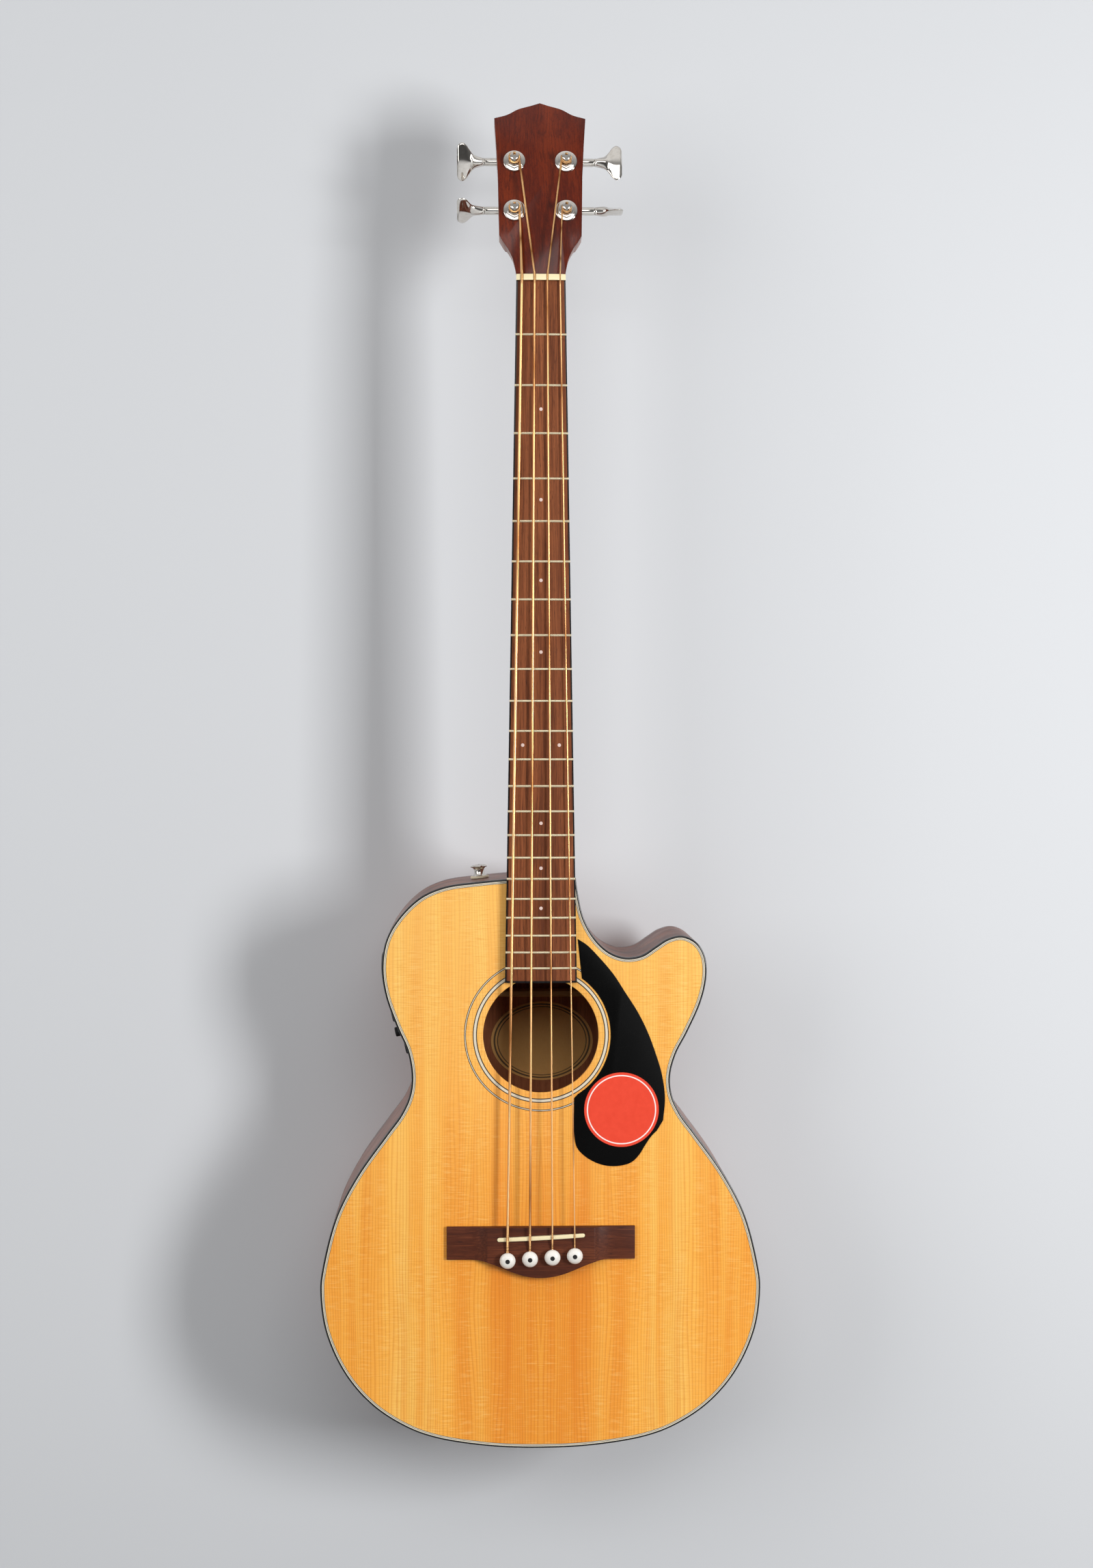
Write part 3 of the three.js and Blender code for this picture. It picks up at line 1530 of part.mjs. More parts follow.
// Strap button on the bass shoulder, square to the side there
function strapButton() {
  const i = outline.findIndex((point) => point.x < -strapAcross);
  const [a, b] = [outline[i - 1], outline[i]];
  const spot = a.clone().lerp(b, (a.x + strapAcross) / (a.x - b.x));
  const along = b.clone().sub(a).normalize();
  const outward = vector(along.y, 0, -along.x);
  const top = seat + strapHeight;
  const body = turned([
    [0, top],
    [strapCapRadius * 0.9, top],
    [strapCapRadius, top - strapWasherThickness / 2],
    [strapCapRadius, top - strapWasherThickness],
    [strapStemRadius, top - strapWasherThickness * 1.5],
    [strapStemRadius, seat + strapWasherThickness],
    [strapWasherRadius, seat + strapWasherThickness],
    [strapWasherRadius, seat],
    [0, seat],
  ]);
  const turn = new THREE.Quaternion().setFromUnitVectors(vector(0, 1, 0), outward);
  const place = new THREE.Matrix4().compose(
    vector(spot.x, strapDepth, spot.y),
    turn,
    vector(1, 1, 1),
  );
  return body.transform(place.elements);
}

// End-pin jack through the tail block, with its socket facing down
const jackDepth = depthAtTail / 2;
function endpinJack() {
  const body = turned([
    [0, -jackInside],
    [jackBarrelRadius, -jackInside],
    [jackBarrelRadius, seat],
    [jackFlangeRadius, seat],
    [jackFlangeRadius, seat + jackFlangeThickness],
    [jackBarrelRadius, seat + jackFlangeThickness * 1.5],
    [jackBarrelRadius, jackLength - jackFlangeThickness],
    [jackLipRadius, jackLength - jackFlangeThickness / 2],
    [jackLipRadius, jackLength],
    [0, jackLength],
  ], 12);
  const bore = rod(
    jackBore,
    vector(0, jackLength - jackBoreLength, 0),
    vector(0, jackLength + overrun, 0),
    12,
  );
  const down = cut(body, bore).rotate([-90, 0, 0]);
  return down.translate([0, jackDepth, bodyTail]);
}

// Assembly
const strings = stringNames.map((_, i) => stringPath(i));
const stringClearance = strings.map(({ path, radius, ballRadius, firstLoop }) => {
  const ballRoom = solid(
    new THREE.SphereGeometry(ballRadius + seat, 8, 6).translate(...path[0]),
  );
  return join(tube(path.slice(0, firstLoop + 1), radius + seat, stringSides), ballRoom);
});
const nutClearance = strings.map(({ path, radius, firstLoop }) =>
  tube(path.slice(5, firstLoop + 1), radius + seat, stringSides),
);

const tailGap = block(
  vector(-seat / 2, -overrun, bodyTail - overrun),
  vector(seat / 2, depthAtTail + overrun, bodyTail + overrun * 2),
);
const jackHole = rod(
  jackBarrelRadius + seat,
  vector(0, jackDepth, bodyTail - overrun),
  vector(0, jackDepth, bodyTail + jackInside),
);

piece("soundboard", soundboard(stringClearance), "spruce");
piece("back", backSkin(0), "mahogany");
piece("side_bass", cut(sideShell(0, tailIndex), tailGap, jackHole, sideCutout()), "mahogany");
piece(
  "side_treble",
  cut(sideShell(tailIndex, outline.length - 1), tailGap, jackHole),
  "mahogany",
);
piece("top_binding", topBinding(), "black");
piece("back_binding", backBinding(), "black");
piece("neck_block", neckBlock(rodHole(rodRadius + seat)), "bracewood");
piece("tail_block", tailBlock(), "bracewood");
piece("x_brace_bass", xBrace(-1), "bracewood");
piece("x_brace_treble", xBrace(1), "bracewood");
piece("transverse_brace", transverseBrace(), "bracewood");
piece("tone_bar_upper", toneBar(0), "bracewood");
piece("tone_bar_lower", toneBar(1), "bracewood");
piece("bridge_plate", bridgePlate(stringClearance), "rosewood");
backBraceDrops.forEach((drop, i) =>
  piece(`back_brace_${i + 1}`, backBrace(drop), "bracewood"),
);
piece("rosette", rosette(), "white");
piece("pickguard", pickguard(), "black");
piece("neck", neck(), "mahogany");
piece("heel_cap", heelCap(), "black");
piece("fingerboard", fingerboard(), "rosewood");
piece("nut", nut(nutClearance), "bone");
piece("truss_rod", trussRod(), "steel");
piece("truss_rod_nut", trussNut(), "steel");
piece("bridge", bridge(stringClearance), "rosewood");
piece("saddle", saddle(), "bone");
strings.forEach((string, i) => {
  const name = stringNames[i];
  piece(`string_${name}`, stringBody(string), "bronze");
  piece(`bridge_pin_${name}`, bridgePin(pinSpots[i]), "white");
  console.log(`string ${name}: least gap between turns ${turnGap(string).toFixed(2)} mm`);
});
stringNames.forEach((_, i) => addTuner(i));
guitar.add(headstock);
piece("preamp_panel", preampPanel(), "black");
["volume", "treble", "bass"].forEach((name, i) =>
  piece(`preamp_knob_${name}`, preampKnob(knobPlaces[i]), "black"),
);
piece("preamp_tuner_button", tunerButton(), "black");
piece("battery_door", batteryDoor(), "black");
piece("strap_button", strapButton(), "chrome");
piece("endpin_jack", endpinJack(), "chrome");

export default guitar;
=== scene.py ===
"""Finish of the acoustic bass guitar: woods, bindings, metalwork, strings, light and camera.

Sizes are in millimetres. +x is the treble side, +y runs into the body, +z runs up the neck;
z = 0 is the nut's playing edge and y = 0 is the outer face of the top.
"""

import math
from contextlib import contextmanager

import bmesh
import bpy
from mathutils import Matrix, Vector


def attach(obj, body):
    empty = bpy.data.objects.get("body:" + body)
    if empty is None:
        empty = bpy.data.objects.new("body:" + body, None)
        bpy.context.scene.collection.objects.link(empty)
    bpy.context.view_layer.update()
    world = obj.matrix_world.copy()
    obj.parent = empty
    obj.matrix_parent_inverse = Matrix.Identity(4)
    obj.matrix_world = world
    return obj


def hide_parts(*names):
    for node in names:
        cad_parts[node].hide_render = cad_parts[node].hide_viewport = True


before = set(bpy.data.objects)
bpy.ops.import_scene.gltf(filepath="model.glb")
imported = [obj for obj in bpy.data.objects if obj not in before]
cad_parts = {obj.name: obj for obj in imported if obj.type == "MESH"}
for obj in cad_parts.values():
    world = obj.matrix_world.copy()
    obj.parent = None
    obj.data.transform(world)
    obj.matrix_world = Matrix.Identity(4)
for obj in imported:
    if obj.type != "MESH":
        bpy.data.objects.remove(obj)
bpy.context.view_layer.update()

MM = 0.001
MERGE = 0.001 * MM
SEAT = 0.3

# Scale, neck and fingerboard
SCALE = 812.8
FRETS = 22
DOT_FRETS = [3, 5, 7, 9, 15, 17, 19]
NUT_WIDTH = 41.8
BOARD_END = 597.3
BOARD_END_WIDTH = 61.4
BOARD_THICKNESS = 6.5
BOARD_RADIUS = 305
BOARD_EDGE = 1.3
NUT_LENGTH = 5.5
NUT_HEIGHT = 9.2
HEAD_TILT = math.radians(12)
HEAD_THICKNESS = 15
HEAD_LENGTH = 158.2
HEAD_WIDTH = 78.7
NECK_DEPTH_AT_NUT = 14.6
NECK_DEPTH_AT_HEEL = 20
HEEL_LENGTH = 72
HEEL_DEPTH = 110

# Body
BODY_TOP = -SCALE * (1 - 2 ** (-17 / 12))
BODY_LENGTH = 490.2
BODY_TAIL = BODY_TOP - BODY_LENGTH
BODY_WIDTH = 378
DEPTH_AT_NECK = 106
DEPTH_AT_TAIL = 120
HEEL_CAP_START = DEPTH_AT_NECK - 2.4
BACK_DOME = 4
TOP_THICKNESS = 3
BACK_THICKNESS = 2.8
SIDE_THICKNESS = 2.3
BINDING_WIDTH = 1.6
BINDING_DEPTH = 6
HOLE_DROP = 642.6
HOLE_RADIUS = 49.4
NECK_GAP = 12.3
JACK_DEPTH = 60
LABEL_CENTRE = (4, -661.8)
LABEL_HALF = (46, 35.8)
GUARD_WIDTH = 78
GUARD_LENGTH = 195
GUARD_START = HOLE_DROP - 82.3
GUARD_ARC = 59.9
STICKER_CENTRE = (69.2, -706.9)
STICKER_RADIUS = 32

# Bridge, saddle and pins
SADDLE_Z = -SCALE - 2.3
SADDLE_SLANT = math.radians(2.75)
SADDLE_SEAT = -11.6
SADDLE_REACH = 35.9
BRIDGE_HALF = 80.7
BRIDGE_THICKNESS = 8.6
BRIDGE_TOP = SADDLE_Z + 8.6
BRIDGE_WING = BRIDGE_TOP - 28.3
BRIDGE_BELLY = BRIDGE_TOP - 43.3
PIN_ROW_Z = SADDLE_Z - 16.9
PIN_ROW_SLANT = math.radians(3.8)
PIN_HOLE = 3.5
PIN_FACE = -8.9
STRING_SLOT = 3.6

# Strings, from the bass side to the treble side
STRINGS = ["e", "a", "d", "g"]
DIAMETERS = [2.4, 2.0, 1.6, 1.2]
TURNS = [1.2, 1.55, 2.05, 2.3]
SPREAD_AT_NUT = 32.4
SPREAD_AT_BRIDGE = 57.4
NUT_SEAT = -8.1
POSTS = [(-1, 0), (-1, 1), (1, 1), (1, 0)]
POST_SPREAD = 44.4
POST_HEIGHTS = [58.5, 103.6]
KEY_TURNS = [75, 33, -3, 109]
KEY_LENGTH = 23.3
KEY_WIDTH = 16.5
HOUSING_FRONT = HEAD_THICKNESS + 0.3
GEAR_DEPTH = HOUSING_FRONT + 4
EAR_Z = -10.8
POST_FOOT = -4.8
POST_CREST = -11.2
POST_WAIST = 2.9
WORM_PITCH = 2.513
WORM_RADIUS = 2.1
TURN_STEPS = 28
WORM_OFFSET = 8.8
STEM_END = 25.2

BASS_SHARES = [
    (0.116, 0), (0.283, 0.006), (0.441, 0.015), (0.55, 0.034), (0.649, 0.072), (0.701, 0.109),
    (0.719, 0.156), (0.703, 0.203), (0.653, 0.258), (0.603, 0.303), (0.585, 0.346),
]
LOWER_BOUT_SHARES = [
    (0.595, 0.379), (0.633, 0.412), (0.699, 0.447), (0.832, 0.519), (0.928, 0.591), (0.99, 0.683),
    (1, 0.719), (0.975, 0.793), (0.887, 0.868), (0.761, 0.924), (0.61, 0.962), (0.477, 0.981),
    (0.238, 0.996), (0, 1),
]
TREBLE_SHARES = [
    (0.588, 0.346), (0.613, 0.309), (0.664, 0.271), (0.723, 0.221), (0.749, 0.183),
    (0.753, 0.154), (0.741, 0.132), (0.706, 0.112), (0.642, 0.101), (0.577, 0.106),
    (0.519, 0.12), (0.458, 0.135), (0.386, 0.139), (0.315, 0.13), (0.251, 0.108),
    (0.196, 0.071), (0.17, 0.03), (0.159, 0),
]
FLARE_SHARES = [
    (0.531, 0), (0.559, 0.046), (0.61, 0.1), (0.7, 0.152), (0.8, 0.187), (0.895, 0.229),
]
EDGE_SHARES = [(0.906, 0.352), (0.922, 0.569), (0.958, 0.746), (1, 0.91)]
CREST_SHARES = [(1, 0.91), (0.72, 0.93), (0.475, 0.963), (0.196, 0.984), (0, 1)]
HEEL_SHARES = [
    (0, 0), (0.3, 0.015), (0.5, 0.06), (0.68, 0.16), (0.82, 0.32), (0.92, 0.55), (0.975, 0.8),
    (1, 1),
]
GUARD_SHARES = [
    (0.04, 0), (0.14, 0.026), (0.28, 0.083), (0.43, 0.154), (0.56, 0.234), (0.7, 0.322),
    (0.81, 0.411), (0.9, 0.508), (0.965, 0.596), (1, 0.7), (0.98, 0.8),
]
GUARD_TAIL_SHARES = [
    (0.94, 0.835), (0.85, 0.87), (0.775, 0.914), (0.72, 0.95), (0.63, 0.985), (0.5, 1),
    (0.365, 1), (0.23, 0.984), (0.12, 0.957), (0.035, 0.921), (0, 0.86), (0, 0.7),
]
KEY_SHARES = [
    (0, 0.72), (0.06, 0.9), (0.2, 1), (0.33, 0.9), (0.47, 0.63), (0.62, 0.38), (1, 0.2),
]


# Curves and places


def flowing(points, step):
    """A smooth line through the points, cut into lengths of about one step."""
    rows = [Vector(p) for p in points]
    rows.insert(0, rows[0] * 2 - rows[1])
    rows.append(rows[-1] * 2 - rows[-2])
    line = []
    for a, b, c, d in zip(rows, rows[1:], rows[2:], rows[3:]):
        spans = [max((q - p).length ** 0.5, 1e-4) for p, q in ((a, b), (b, c), (c, d))]
        before, along, after = spans
        leave = (b - a) / before - (c - a) / (before + along) + (c - b) / along
        reach = (c - b) / along - (d - b) / (along + after) + (d - c) / after
        leave *= along
        reach *= along
        count = max(1, round((c - b).length / step))
        for k in range(count):
            t = k / count
            line.append(
                b + leave * t
                + ((c - b) * 3 - leave * 2 - reach) * t ** 2
                + ((b - c) * 2 + leave + reach) * t ** 3
            )
    line.append(rows[-2])
    return line


def inset(line, distance):
    """A closed line moved to its left by one distance, with mitred corners."""
    inner = []
    for before, point, after in zip([line[-1], *line], line, [*line[1:], line[0]]):
        arriving = (point - before).normalized()
        leaving = (after - point).normalized()
        across = (arriving + leaving).normalized()
        inward = Vector((-across.y, across.x))
        inner.append(point + inward * distance / inward.dot(Vector((-arriving.y, arriving.x))))
    return inner


def body_point(share, side):
    across, down = share
    return (side * across * BODY_WIDTH / 2, BODY_TOP - down * BODY_LENGTH)


def back_depth(z):
    return DEPTH_AT_NECK + (DEPTH_AT_TAIL - DEPTH_AT_NECK) * (BODY_TOP - z) / BODY_LENGTH


def board_half(z):
    """Half the fingerboard's width."""
    return (NUT_WIDTH + (BOARD_END_WIDTH - NUT_WIDTH) * max(-z, 0) / BOARD_END) / 2


def crown(x):
    """How far the fingerboard's round face falls away from its middle."""
    return x * x / (2 * BOARD_RADIUS)


def fret_drop(fret):
    return SCALE * (1 - 2 ** (-fret / 12))


def at(x, y, z):
    """A move to a place."""
    return Matrix.Translation((x, y, z))


def by(degrees, axis):
    """A turn about an axis."""
    return Matrix.Rotation(math.radians(degrees), 4, axis)


def head_place(share):
    """The headstock's frame, tilted back by a share of its whole tilt."""
    return at(0, 0, NUT_LENGTH) @ Matrix.Rotation(-HEAD_TILT * share, 4, "X")


bass_controls = [body_point(s, -1) for s in BASS_SHARES + LOWER_BOUT_SHARES]
treble_controls = [body_point(s, 1) for s in LOWER_BOUT_SHARES[-2::-1] + TREBLE_SHARES]
curve_line = flowing(bass_controls + treble_controls, 3)
tail_index = min(range(len(curve_line)), key=lambda i: curve_line[i].y) + 1
body_line = [Vector((-NECK_GAP, BODY_TOP)), *curve_line, Vector((NECK_GAP, BODY_TOP))]

HEAD = head_place(1)


# Modelling by hand: start a piece, pick faces or edges, shape, finish


def hold(piece):
    bpy.ops.object.select_all(action="DESELECT")
    piece.hide_viewport = False
    piece.select_set(True)
    bpy.context.view_layer.objects.active = piece


@contextmanager
def editing(piece, everything=False):
    hold(piece)
    bpy.ops.object.mode_set(mode="EDIT")
    bpy.ops.mesh.select_mode(type="VERT")
    bpy.ops.mesh.select_all(action="SELECT" if everything else "DESELECT")
    yield
    bpy.ops.object.mode_set(mode="OBJECT")


def pick(piece, test, kind="FACE"):
    """Selects the faces whose middle and normal pass a test, or the edges, by their direction."""
    bpy.ops.mesh.select_mode(type=kind)
    bpy.ops.mesh.select_all(action="DESELECT")
    mesh = bmesh.from_edit_mesh(piece.data)
    mesh.normal_update()
    if kind == "FACE":
        for face in mesh.faces:
            face.select_set(test(face.calc_center_median() / MM, face.normal))
    else:
        for edge in mesh.edges:
            a, b = (vert.co / MM for vert in edge.verts)
            edge.select_set(test((a + b) / 2, (b - a).normalized()))
    mesh.select_flush_mode()
    bmesh.update_edit_mesh(piece.data)


def drawn(line, closed=True, radius=0, resolution=0, widths=()):
    """A row of points drawn as a curve, round if it has a radius, then made a mesh."""
    curve = bpy.data.curves.new("line", "CURVE")
    curve.dimensions = "3D"
    curve.bevel_depth = radius * MM
    curve.bevel_resolution = resolution
    curve.use_fill_caps = radius > 0
    spline = curve.splines.new("POLY")
    spline.points.add(len(line) - 1)
    spline.use_cyclic_u = closed
    for point, place in zip(spline.points, line):
        point.co = (*(Vector(place) * MM), 1)
    for point, width in zip(spline.points, widths):
        point.radius = width
    piece = bpy.data.objects.new("line", curve)
    bpy.context.scene.collection.objects.link(piece)
    hold(piece)
    bpy.ops.object.convert(target="MESH")
    return bpy.context.object


def outwards(piece):
    with editing(piece, everything=True):
        bpy.ops.mesh.remove_doubles(threshold=MERGE)
        bpy.ops.mesh.normals_make_consistent(inside=False)


def mended(piece):
    """Fills the slivers that a boolean leaves open."""
    with editing(piece, everything=True):
        bpy.ops.mesh.remove_doubles(threshold=10 * MERGE)
        bpy.ops.mesh.fill_holes(sides=0)
        bpy.ops.mesh.normals_make_consistent(inside=False)


def skin(rings, closed=False, first_end=True):
    """A surface pulled out from the first drawn line to each next one, with its ends filled."""
    piece = drawn(rings[0])
    with editing(piece, everything=True):
        mesh = bmesh.from_edit_mesh(piece.data)
        order = mesh.verts.layers.int.new("order")
        number = mesh.verts.layers.int.new("number")
        mesh.verts.ensure_lookup_table()
        for i, vert in enumerate(mesh.verts):
            vert[order] = i
        for k, ring in enumerate([*rings[1:], rings[0]] if closed else rings[1:]):
            bpy.ops.mesh.extrude_region_move(TRANSFORM_OT_translate={"value": (0, 0, MM)})
            mesh = bmesh.from_edit_mesh(piece.data)
            for vert in mesh.verts:
                if vert.select:
                    vert.co = Vector(ring[vert[order]]) * MM
                    vert[number] = k + 1
        ends = [0, len(rings) - 1] if first_end else [len(rings) - 1]
        for end in [] if closed else ends:
            mesh = bmesh.from_edit_mesh(piece.data)
            bpy.ops.mesh.select_all(action="DESELECT")
            for vert in mesh.verts:
                vert.select = vert[number] == end
            mesh.select_flush(True)
            bpy.ops.mesh.edge_face_add()
        mesh = bmesh.from_edit_mesh(piece.data)
        mesh.verts.layers.int.remove(mesh.verts.layers.int["order"])
        mesh.verts.layers.int.remove(mesh.verts.layers.int["number"])
        bmesh.update_edit_mesh(piece.data)
    outwards(piece)
    return piece


def plate(line, low, high):
    """A flat outline in the x-z plane with its thickness between two depths."""
    piece = drawn([(x, low, z) for x, z in line])
    with editing(piece, everything=True):
        bpy.ops.mesh.edge_face_add()
        bpy.ops.mesh.extrude_region_move(
            TRANSFORM_OT_translate={"value": (0, (high - low) * MM, 0)}
        )
    outwards(piece)
    return piece


def turned(profile, steps=40, closed=False):
    """A profile of radius and height spun about the y axis."""
    piece = drawn([(radius, height, 0) for radius, height in profile], closed)
    with editing(piece, everything=True):
        bpy.ops.mesh.spin(steps=steps, angle=math.tau, center=(0, 0, 0), axis=(0, 1, 0))
    outwards(piece)
    return piece


def settled(piece):
    hold(piece)
    bpy.ops.object.transform_apply(location=True, rotation=True, scale=True)
    return piece


def cylinder(radius, start, end, sides=32):
    start, end = Vector(start), Vector(end)
    bpy.ops.mesh.primitive_cylinder_add(
        vertices=sides,
        radius=radius * MM,
        depth=(end - start).length * MM,
        location=(start + end) / 2 * MM,
        rotation=(end - start).to_track_quat("Z", "Y").to_euler(),
    )
    return settled(bpy.context.object)


def disc(radius, depth, y, sides):
    """A flat cylinder on the y axis."""
    bpy.ops.mesh.primitive_cylinder_add(
        vertices=sides, radius=radius * MM, depth=depth * MM, location=(0, y * MM, 0),
        rotation=(math.radians(90), 0, 0),
    )
    return settled(bpy.context.object)


def box(low, high):
    low, high = Vector(low), Vector(high)
    bpy.ops.mesh.primitive_cube_add(size=1, location=(low + high) / 2 * MM)
    bpy.context.object.scale = (high - low) * MM
    return settled(bpy.context.object)


def moved(piece, place):
    """Puts a piece at a place given by a matrix in millimetres."""
    piece.matrix_world = Matrix.Scale(MM, 4) @ place @ Matrix.Scale(1 / MM, 4)
    settled(piece)
    outwards(piece)
    return piece


def applied(piece, kind, **settings):
    modifier = piece.modifiers.new(kind.lower(), kind)
    for key, value in settings.items():
        setattr(modifier, key, value)
    hold(piece)
    bpy.ops.object.modifier_apply(modifier=modifier.name)
    return piece


def cut(piece, *tools, operation="DIFFERENCE"):
    for tool in tools:
        applied(piece, "BOOLEAN", operation=operation, solver="EXACT", object=tool)
        bpy.data.objects.remove(tool)
    return piece


def eased(piece, width, segments=2, angle=35):
    """Rounds the edges sharper than an angle."""
    return applied(
        piece, "BEVEL", width=width * MM, segments=segments, limit_method="ANGLE",
        angle_limit=math.radians(angle), use_clamp_overlap=True,
    )


def joined(*pieces):
    bpy.ops.object.select_all(action="DESELECT")
    for piece in pieces:
        piece.select_set(True)
    bpy.context.view_layer.objects.active = pieces[0]
    bpy.ops.object.join()
    return pieces[0]


def rim_eased(piece, test, width):
    """Rounds the rim of the faces whose middle and normal pass a test."""
    with editing(piece):
        pick(piece, test)
        bpy.ops.mesh.region_to_loop()
        bpy.ops.mesh.bevel(offset=width * MM, segments=2)


def crossed(piece, half, reach, low, high):
    """Cuts a screwdriver's cross into a turned head."""
    for x, z in ((half, reach), (reach, half)):
        cut(piece, box((-x, low, -z), (x, high, z)))


def copied(piece, place=None):
    twin = piece.copy()
    twin.data = piece.data.copy()
    bpy.context.scene.collection.objects.link(twin)
    return moved(twin, place) if place is not None else twin


def coated(piece, material):
    piece.data.materials.clear()
    piece.data.materials.append(material)


def finished(piece, name, material, *nodes, body="instrument", smooth=32):
    """Names a piece, smooths it, and ties it to its body, its solids and its finish."""
    coated(piece, material)
    hold(piece)
    bpy.ops.object.shade_smooth_by_angle(angle=math.radians(smooth))
    piece.name = name
    piece.data.name = name
    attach(piece, body)
    if nodes:
        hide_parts(*nodes)


def second_finish(piece, material, test):
    """Gives another finish to the faces whose middle and normal pass a test."""
    piece.data.materials.append(material)
    for face in piece.data.polygons:
        face.material_index = int(test(face.center / MM, face.normal))


# Finishes


def rgb(red, green, blue):
    """A colour as read off the instrument, 0 to 255, in the renderer's own terms."""
    return (*[((c / 255 + 0.055) / 1.055) ** 2.4 for c in (red, green, blue)], 1)


def fill(tree, item, inputs):
    """Connects or sets the inputs of a node."""
    for socket, value in inputs.items():
        if isinstance(value, bpy.types.NodeSocket):
            tree.links.new(value, item.inputs[socket])
        else:
            item.inputs[socket].default_value = value
    return item


def add(tree, kind, inputs=None, **settings):
    item = tree.nodes.new(kind)
    for key, value in settings.items():
        setattr(item, key, value)
    return fill(tree, item, inputs or {})


def sums(tree, operation, a, b=0.0, clamp=False):
    item = add(tree, "ShaderNodeMath", {0: a, 1: b}, operation=operation, use_clamp=clamp)
    return item.outputs[0]


def times(tree, a, b):
    return sums(tree, "MULTIPLY", a, b)


def plus(tree, a, b):
    return sums(tree, "ADD", a, b)


def graded(tree, factor, *stops):
    """A colour ramp through stops of place and colour."""
    ramp = add(tree, "ShaderNodeValToRGB", {0: factor})
    elements = ramp.color_ramp.elements
    while len(elements) < len(stops):
        elements.new(0.5)
    for element, (place, colour) in zip(elements, stops):
        element.position = place
        element.color = colour if isinstance(colour, tuple) else (colour, colour, colour, 1)
    return ramp.outputs["Color"]


def blended(tree, factor, a, b, how="MIX"):
    inputs = {0: factor, 6: a, 7: b}
    return add(tree, "ShaderNodeMix", inputs, data_type="RGBA", blend_type=how).outputs[2]


def stretched(tree, place, scale):
    return add(tree, "ShaderNodeMapping", {"Vector": place, "Scale": scale}).outputs[0]


def noise(tree, place, stretch, detail=3.0, roughness=0.55, scale=1.0):
    place = stretched(tree, place, stretch)
    inputs = {"Vector": place, "Scale": scale, "Detail": detail, "Roughness": roughness}
    return add(tree, "ShaderNodeTexNoise", inputs).outputs["Fac"]


def split(tree, place):
    return add(tree, "ShaderNodeSeparateXYZ", {0: place}).outputs


def new_group(name, inputs, outputs):
    group = bpy.data.node_groups.new(name, "ShaderNodeTree")
    for title, value in inputs.items():
        kind = "NodeSocketVector" if value is None else "NodeSocketFloat"
        socket = group.interface.new_socket(title, in_out="INPUT", socket_type=kind)
        if value is not None:
            socket.default_value = value
    for title in outputs:
        group.interface.new_socket(title, in_out="OUTPUT", socket_type="NodeSocketFloat")
    return group, group.nodes.new("NodeGroupInput").outputs, group.nodes.new("NodeGroupOutput")


def grain_group():
    """Growth lines, broad tones, open pores and silk of a board whose grain runs along z."""
    group, given, result = new_group(
        "wood_grain",
        {"Vector": None, "Line Scale": 0.18, "Waver": 2.0, "Streak Scale": 0.16},
        ["Lines", "Tone", "Streaks", "Pores", "Silk"],
    )
    place = given["Vector"]
    drift = noise(group, place, (0.03, 0.03, 0.003), 2.0)
    shift = times(group, sums(group, "SUBTRACT", drift, 0.5), given["Waver"])
    across = split(group, place)
    warped = add(group, "ShaderNodeCombineXYZ", {
        0: plus(group, across[0], times(group, shift, 8.0)),
        1: across[1],
        2: times(group, across[2], 0.01),
    }).outputs[0]
    lines = add(
        group,
        "ShaderNodeTexWave",
        {"Vector": warped, "Scale": given["Line Scale"], "Distortion": 1.2, "Detail": 2.0,
         "Detail Scale": 0.4},
        wave_profile="SAW",
        bands_direction="X",
    ).outputs["Fac"]
    patches = noise(group, place, (0.02, 0.02, 0.012), 2.0)
    flecks = noise(group, place, (0.07, 0.3, 1.05), 3.0, 0.6)
    silk = times(
        group, graded(group, patches, (0.38, 0.45), (0.62, 1.0)),
        sums(group, "SUBTRACT", flecks, 0.5),
    )
    pores = noise(group, place, (2.6, 2.6, 0.11), 2.0, 0.7)
    fill(group, result, {
        "Lines": lines,
        "Tone": noise(group, warped, (0.035, 0.035, 0.15), 2.0),
        "Streaks": noise(group, warped, (1, 1, 3), 4.0, 0.65, given["Streak Scale"]),
        "Pores": graded(group, pores, (0.58, 0.0), (0.7, 1.0)),
        "Silk": plus(group, silk, 0.5),
    })
    return group


def handling_group():
    """Fine scratches, faint smears and dust of a surface that hands and cloths have polished."""
    group, given, result = new_group(
        "handling", {"Vector": None, "Roughness": 0.3}, ["Roughness", "Height", "Dust"]
    )
    place = given["Vector"]
    smears = noise(group, place, (0.05, 0.05, 0.03), 4.0, 0.6)
    scratches = noise(group, place, (5.0, 5.0, 0.35), 2.0, 0.8)
    crossing = noise(group, place, (0.3, 4.0, 4.0), 2.0, 0.8)
    marks = plus(
        group, graded(group, scratches, (0.66, 0.0), (0.74, 1.0)),
        graded(group, crossing, (0.68, 0.0), (0.76, 1.0)),
    )
    rough = plus(group, times(group, smears, 0.5), 0.75)
    rough = times(group, rough, given["Roughness"])
    dust = noise(group, place, (2.2, 2.2, 2.2), 2.0, 0.5)
    fill(group, result, {
        "Roughness": sums(group, "ADD", rough, times(group, marks, 0.05), clamp=True),
        "Height": plus(group, smears, times(group, marks, -0.1)),
        "Dust": graded(group, dust, (0.66, 0.0), (0.72, 1.0)),
    })
    return group


GRAIN = grain_group()
HANDLING = handling_group()


def placed(tree, group, values):
    """A node group put in a tree with its own values."""
    return add(tree, "ShaderNodeGroup", values, node_tree=group).outputs


def new_finish(name):
    """A material with its shader, and places on the piece in millimetres."""
    material = bpy.data.materials.new(name)
    material.use_nodes = True
    tree = material.node_tree
    place = add(tree, "ShaderNodeTexCoord").outputs["Object"]
    return material, tree, tree.nodes["Principled BSDF"], stretched(tree, place, (1000, 1000, 1000))


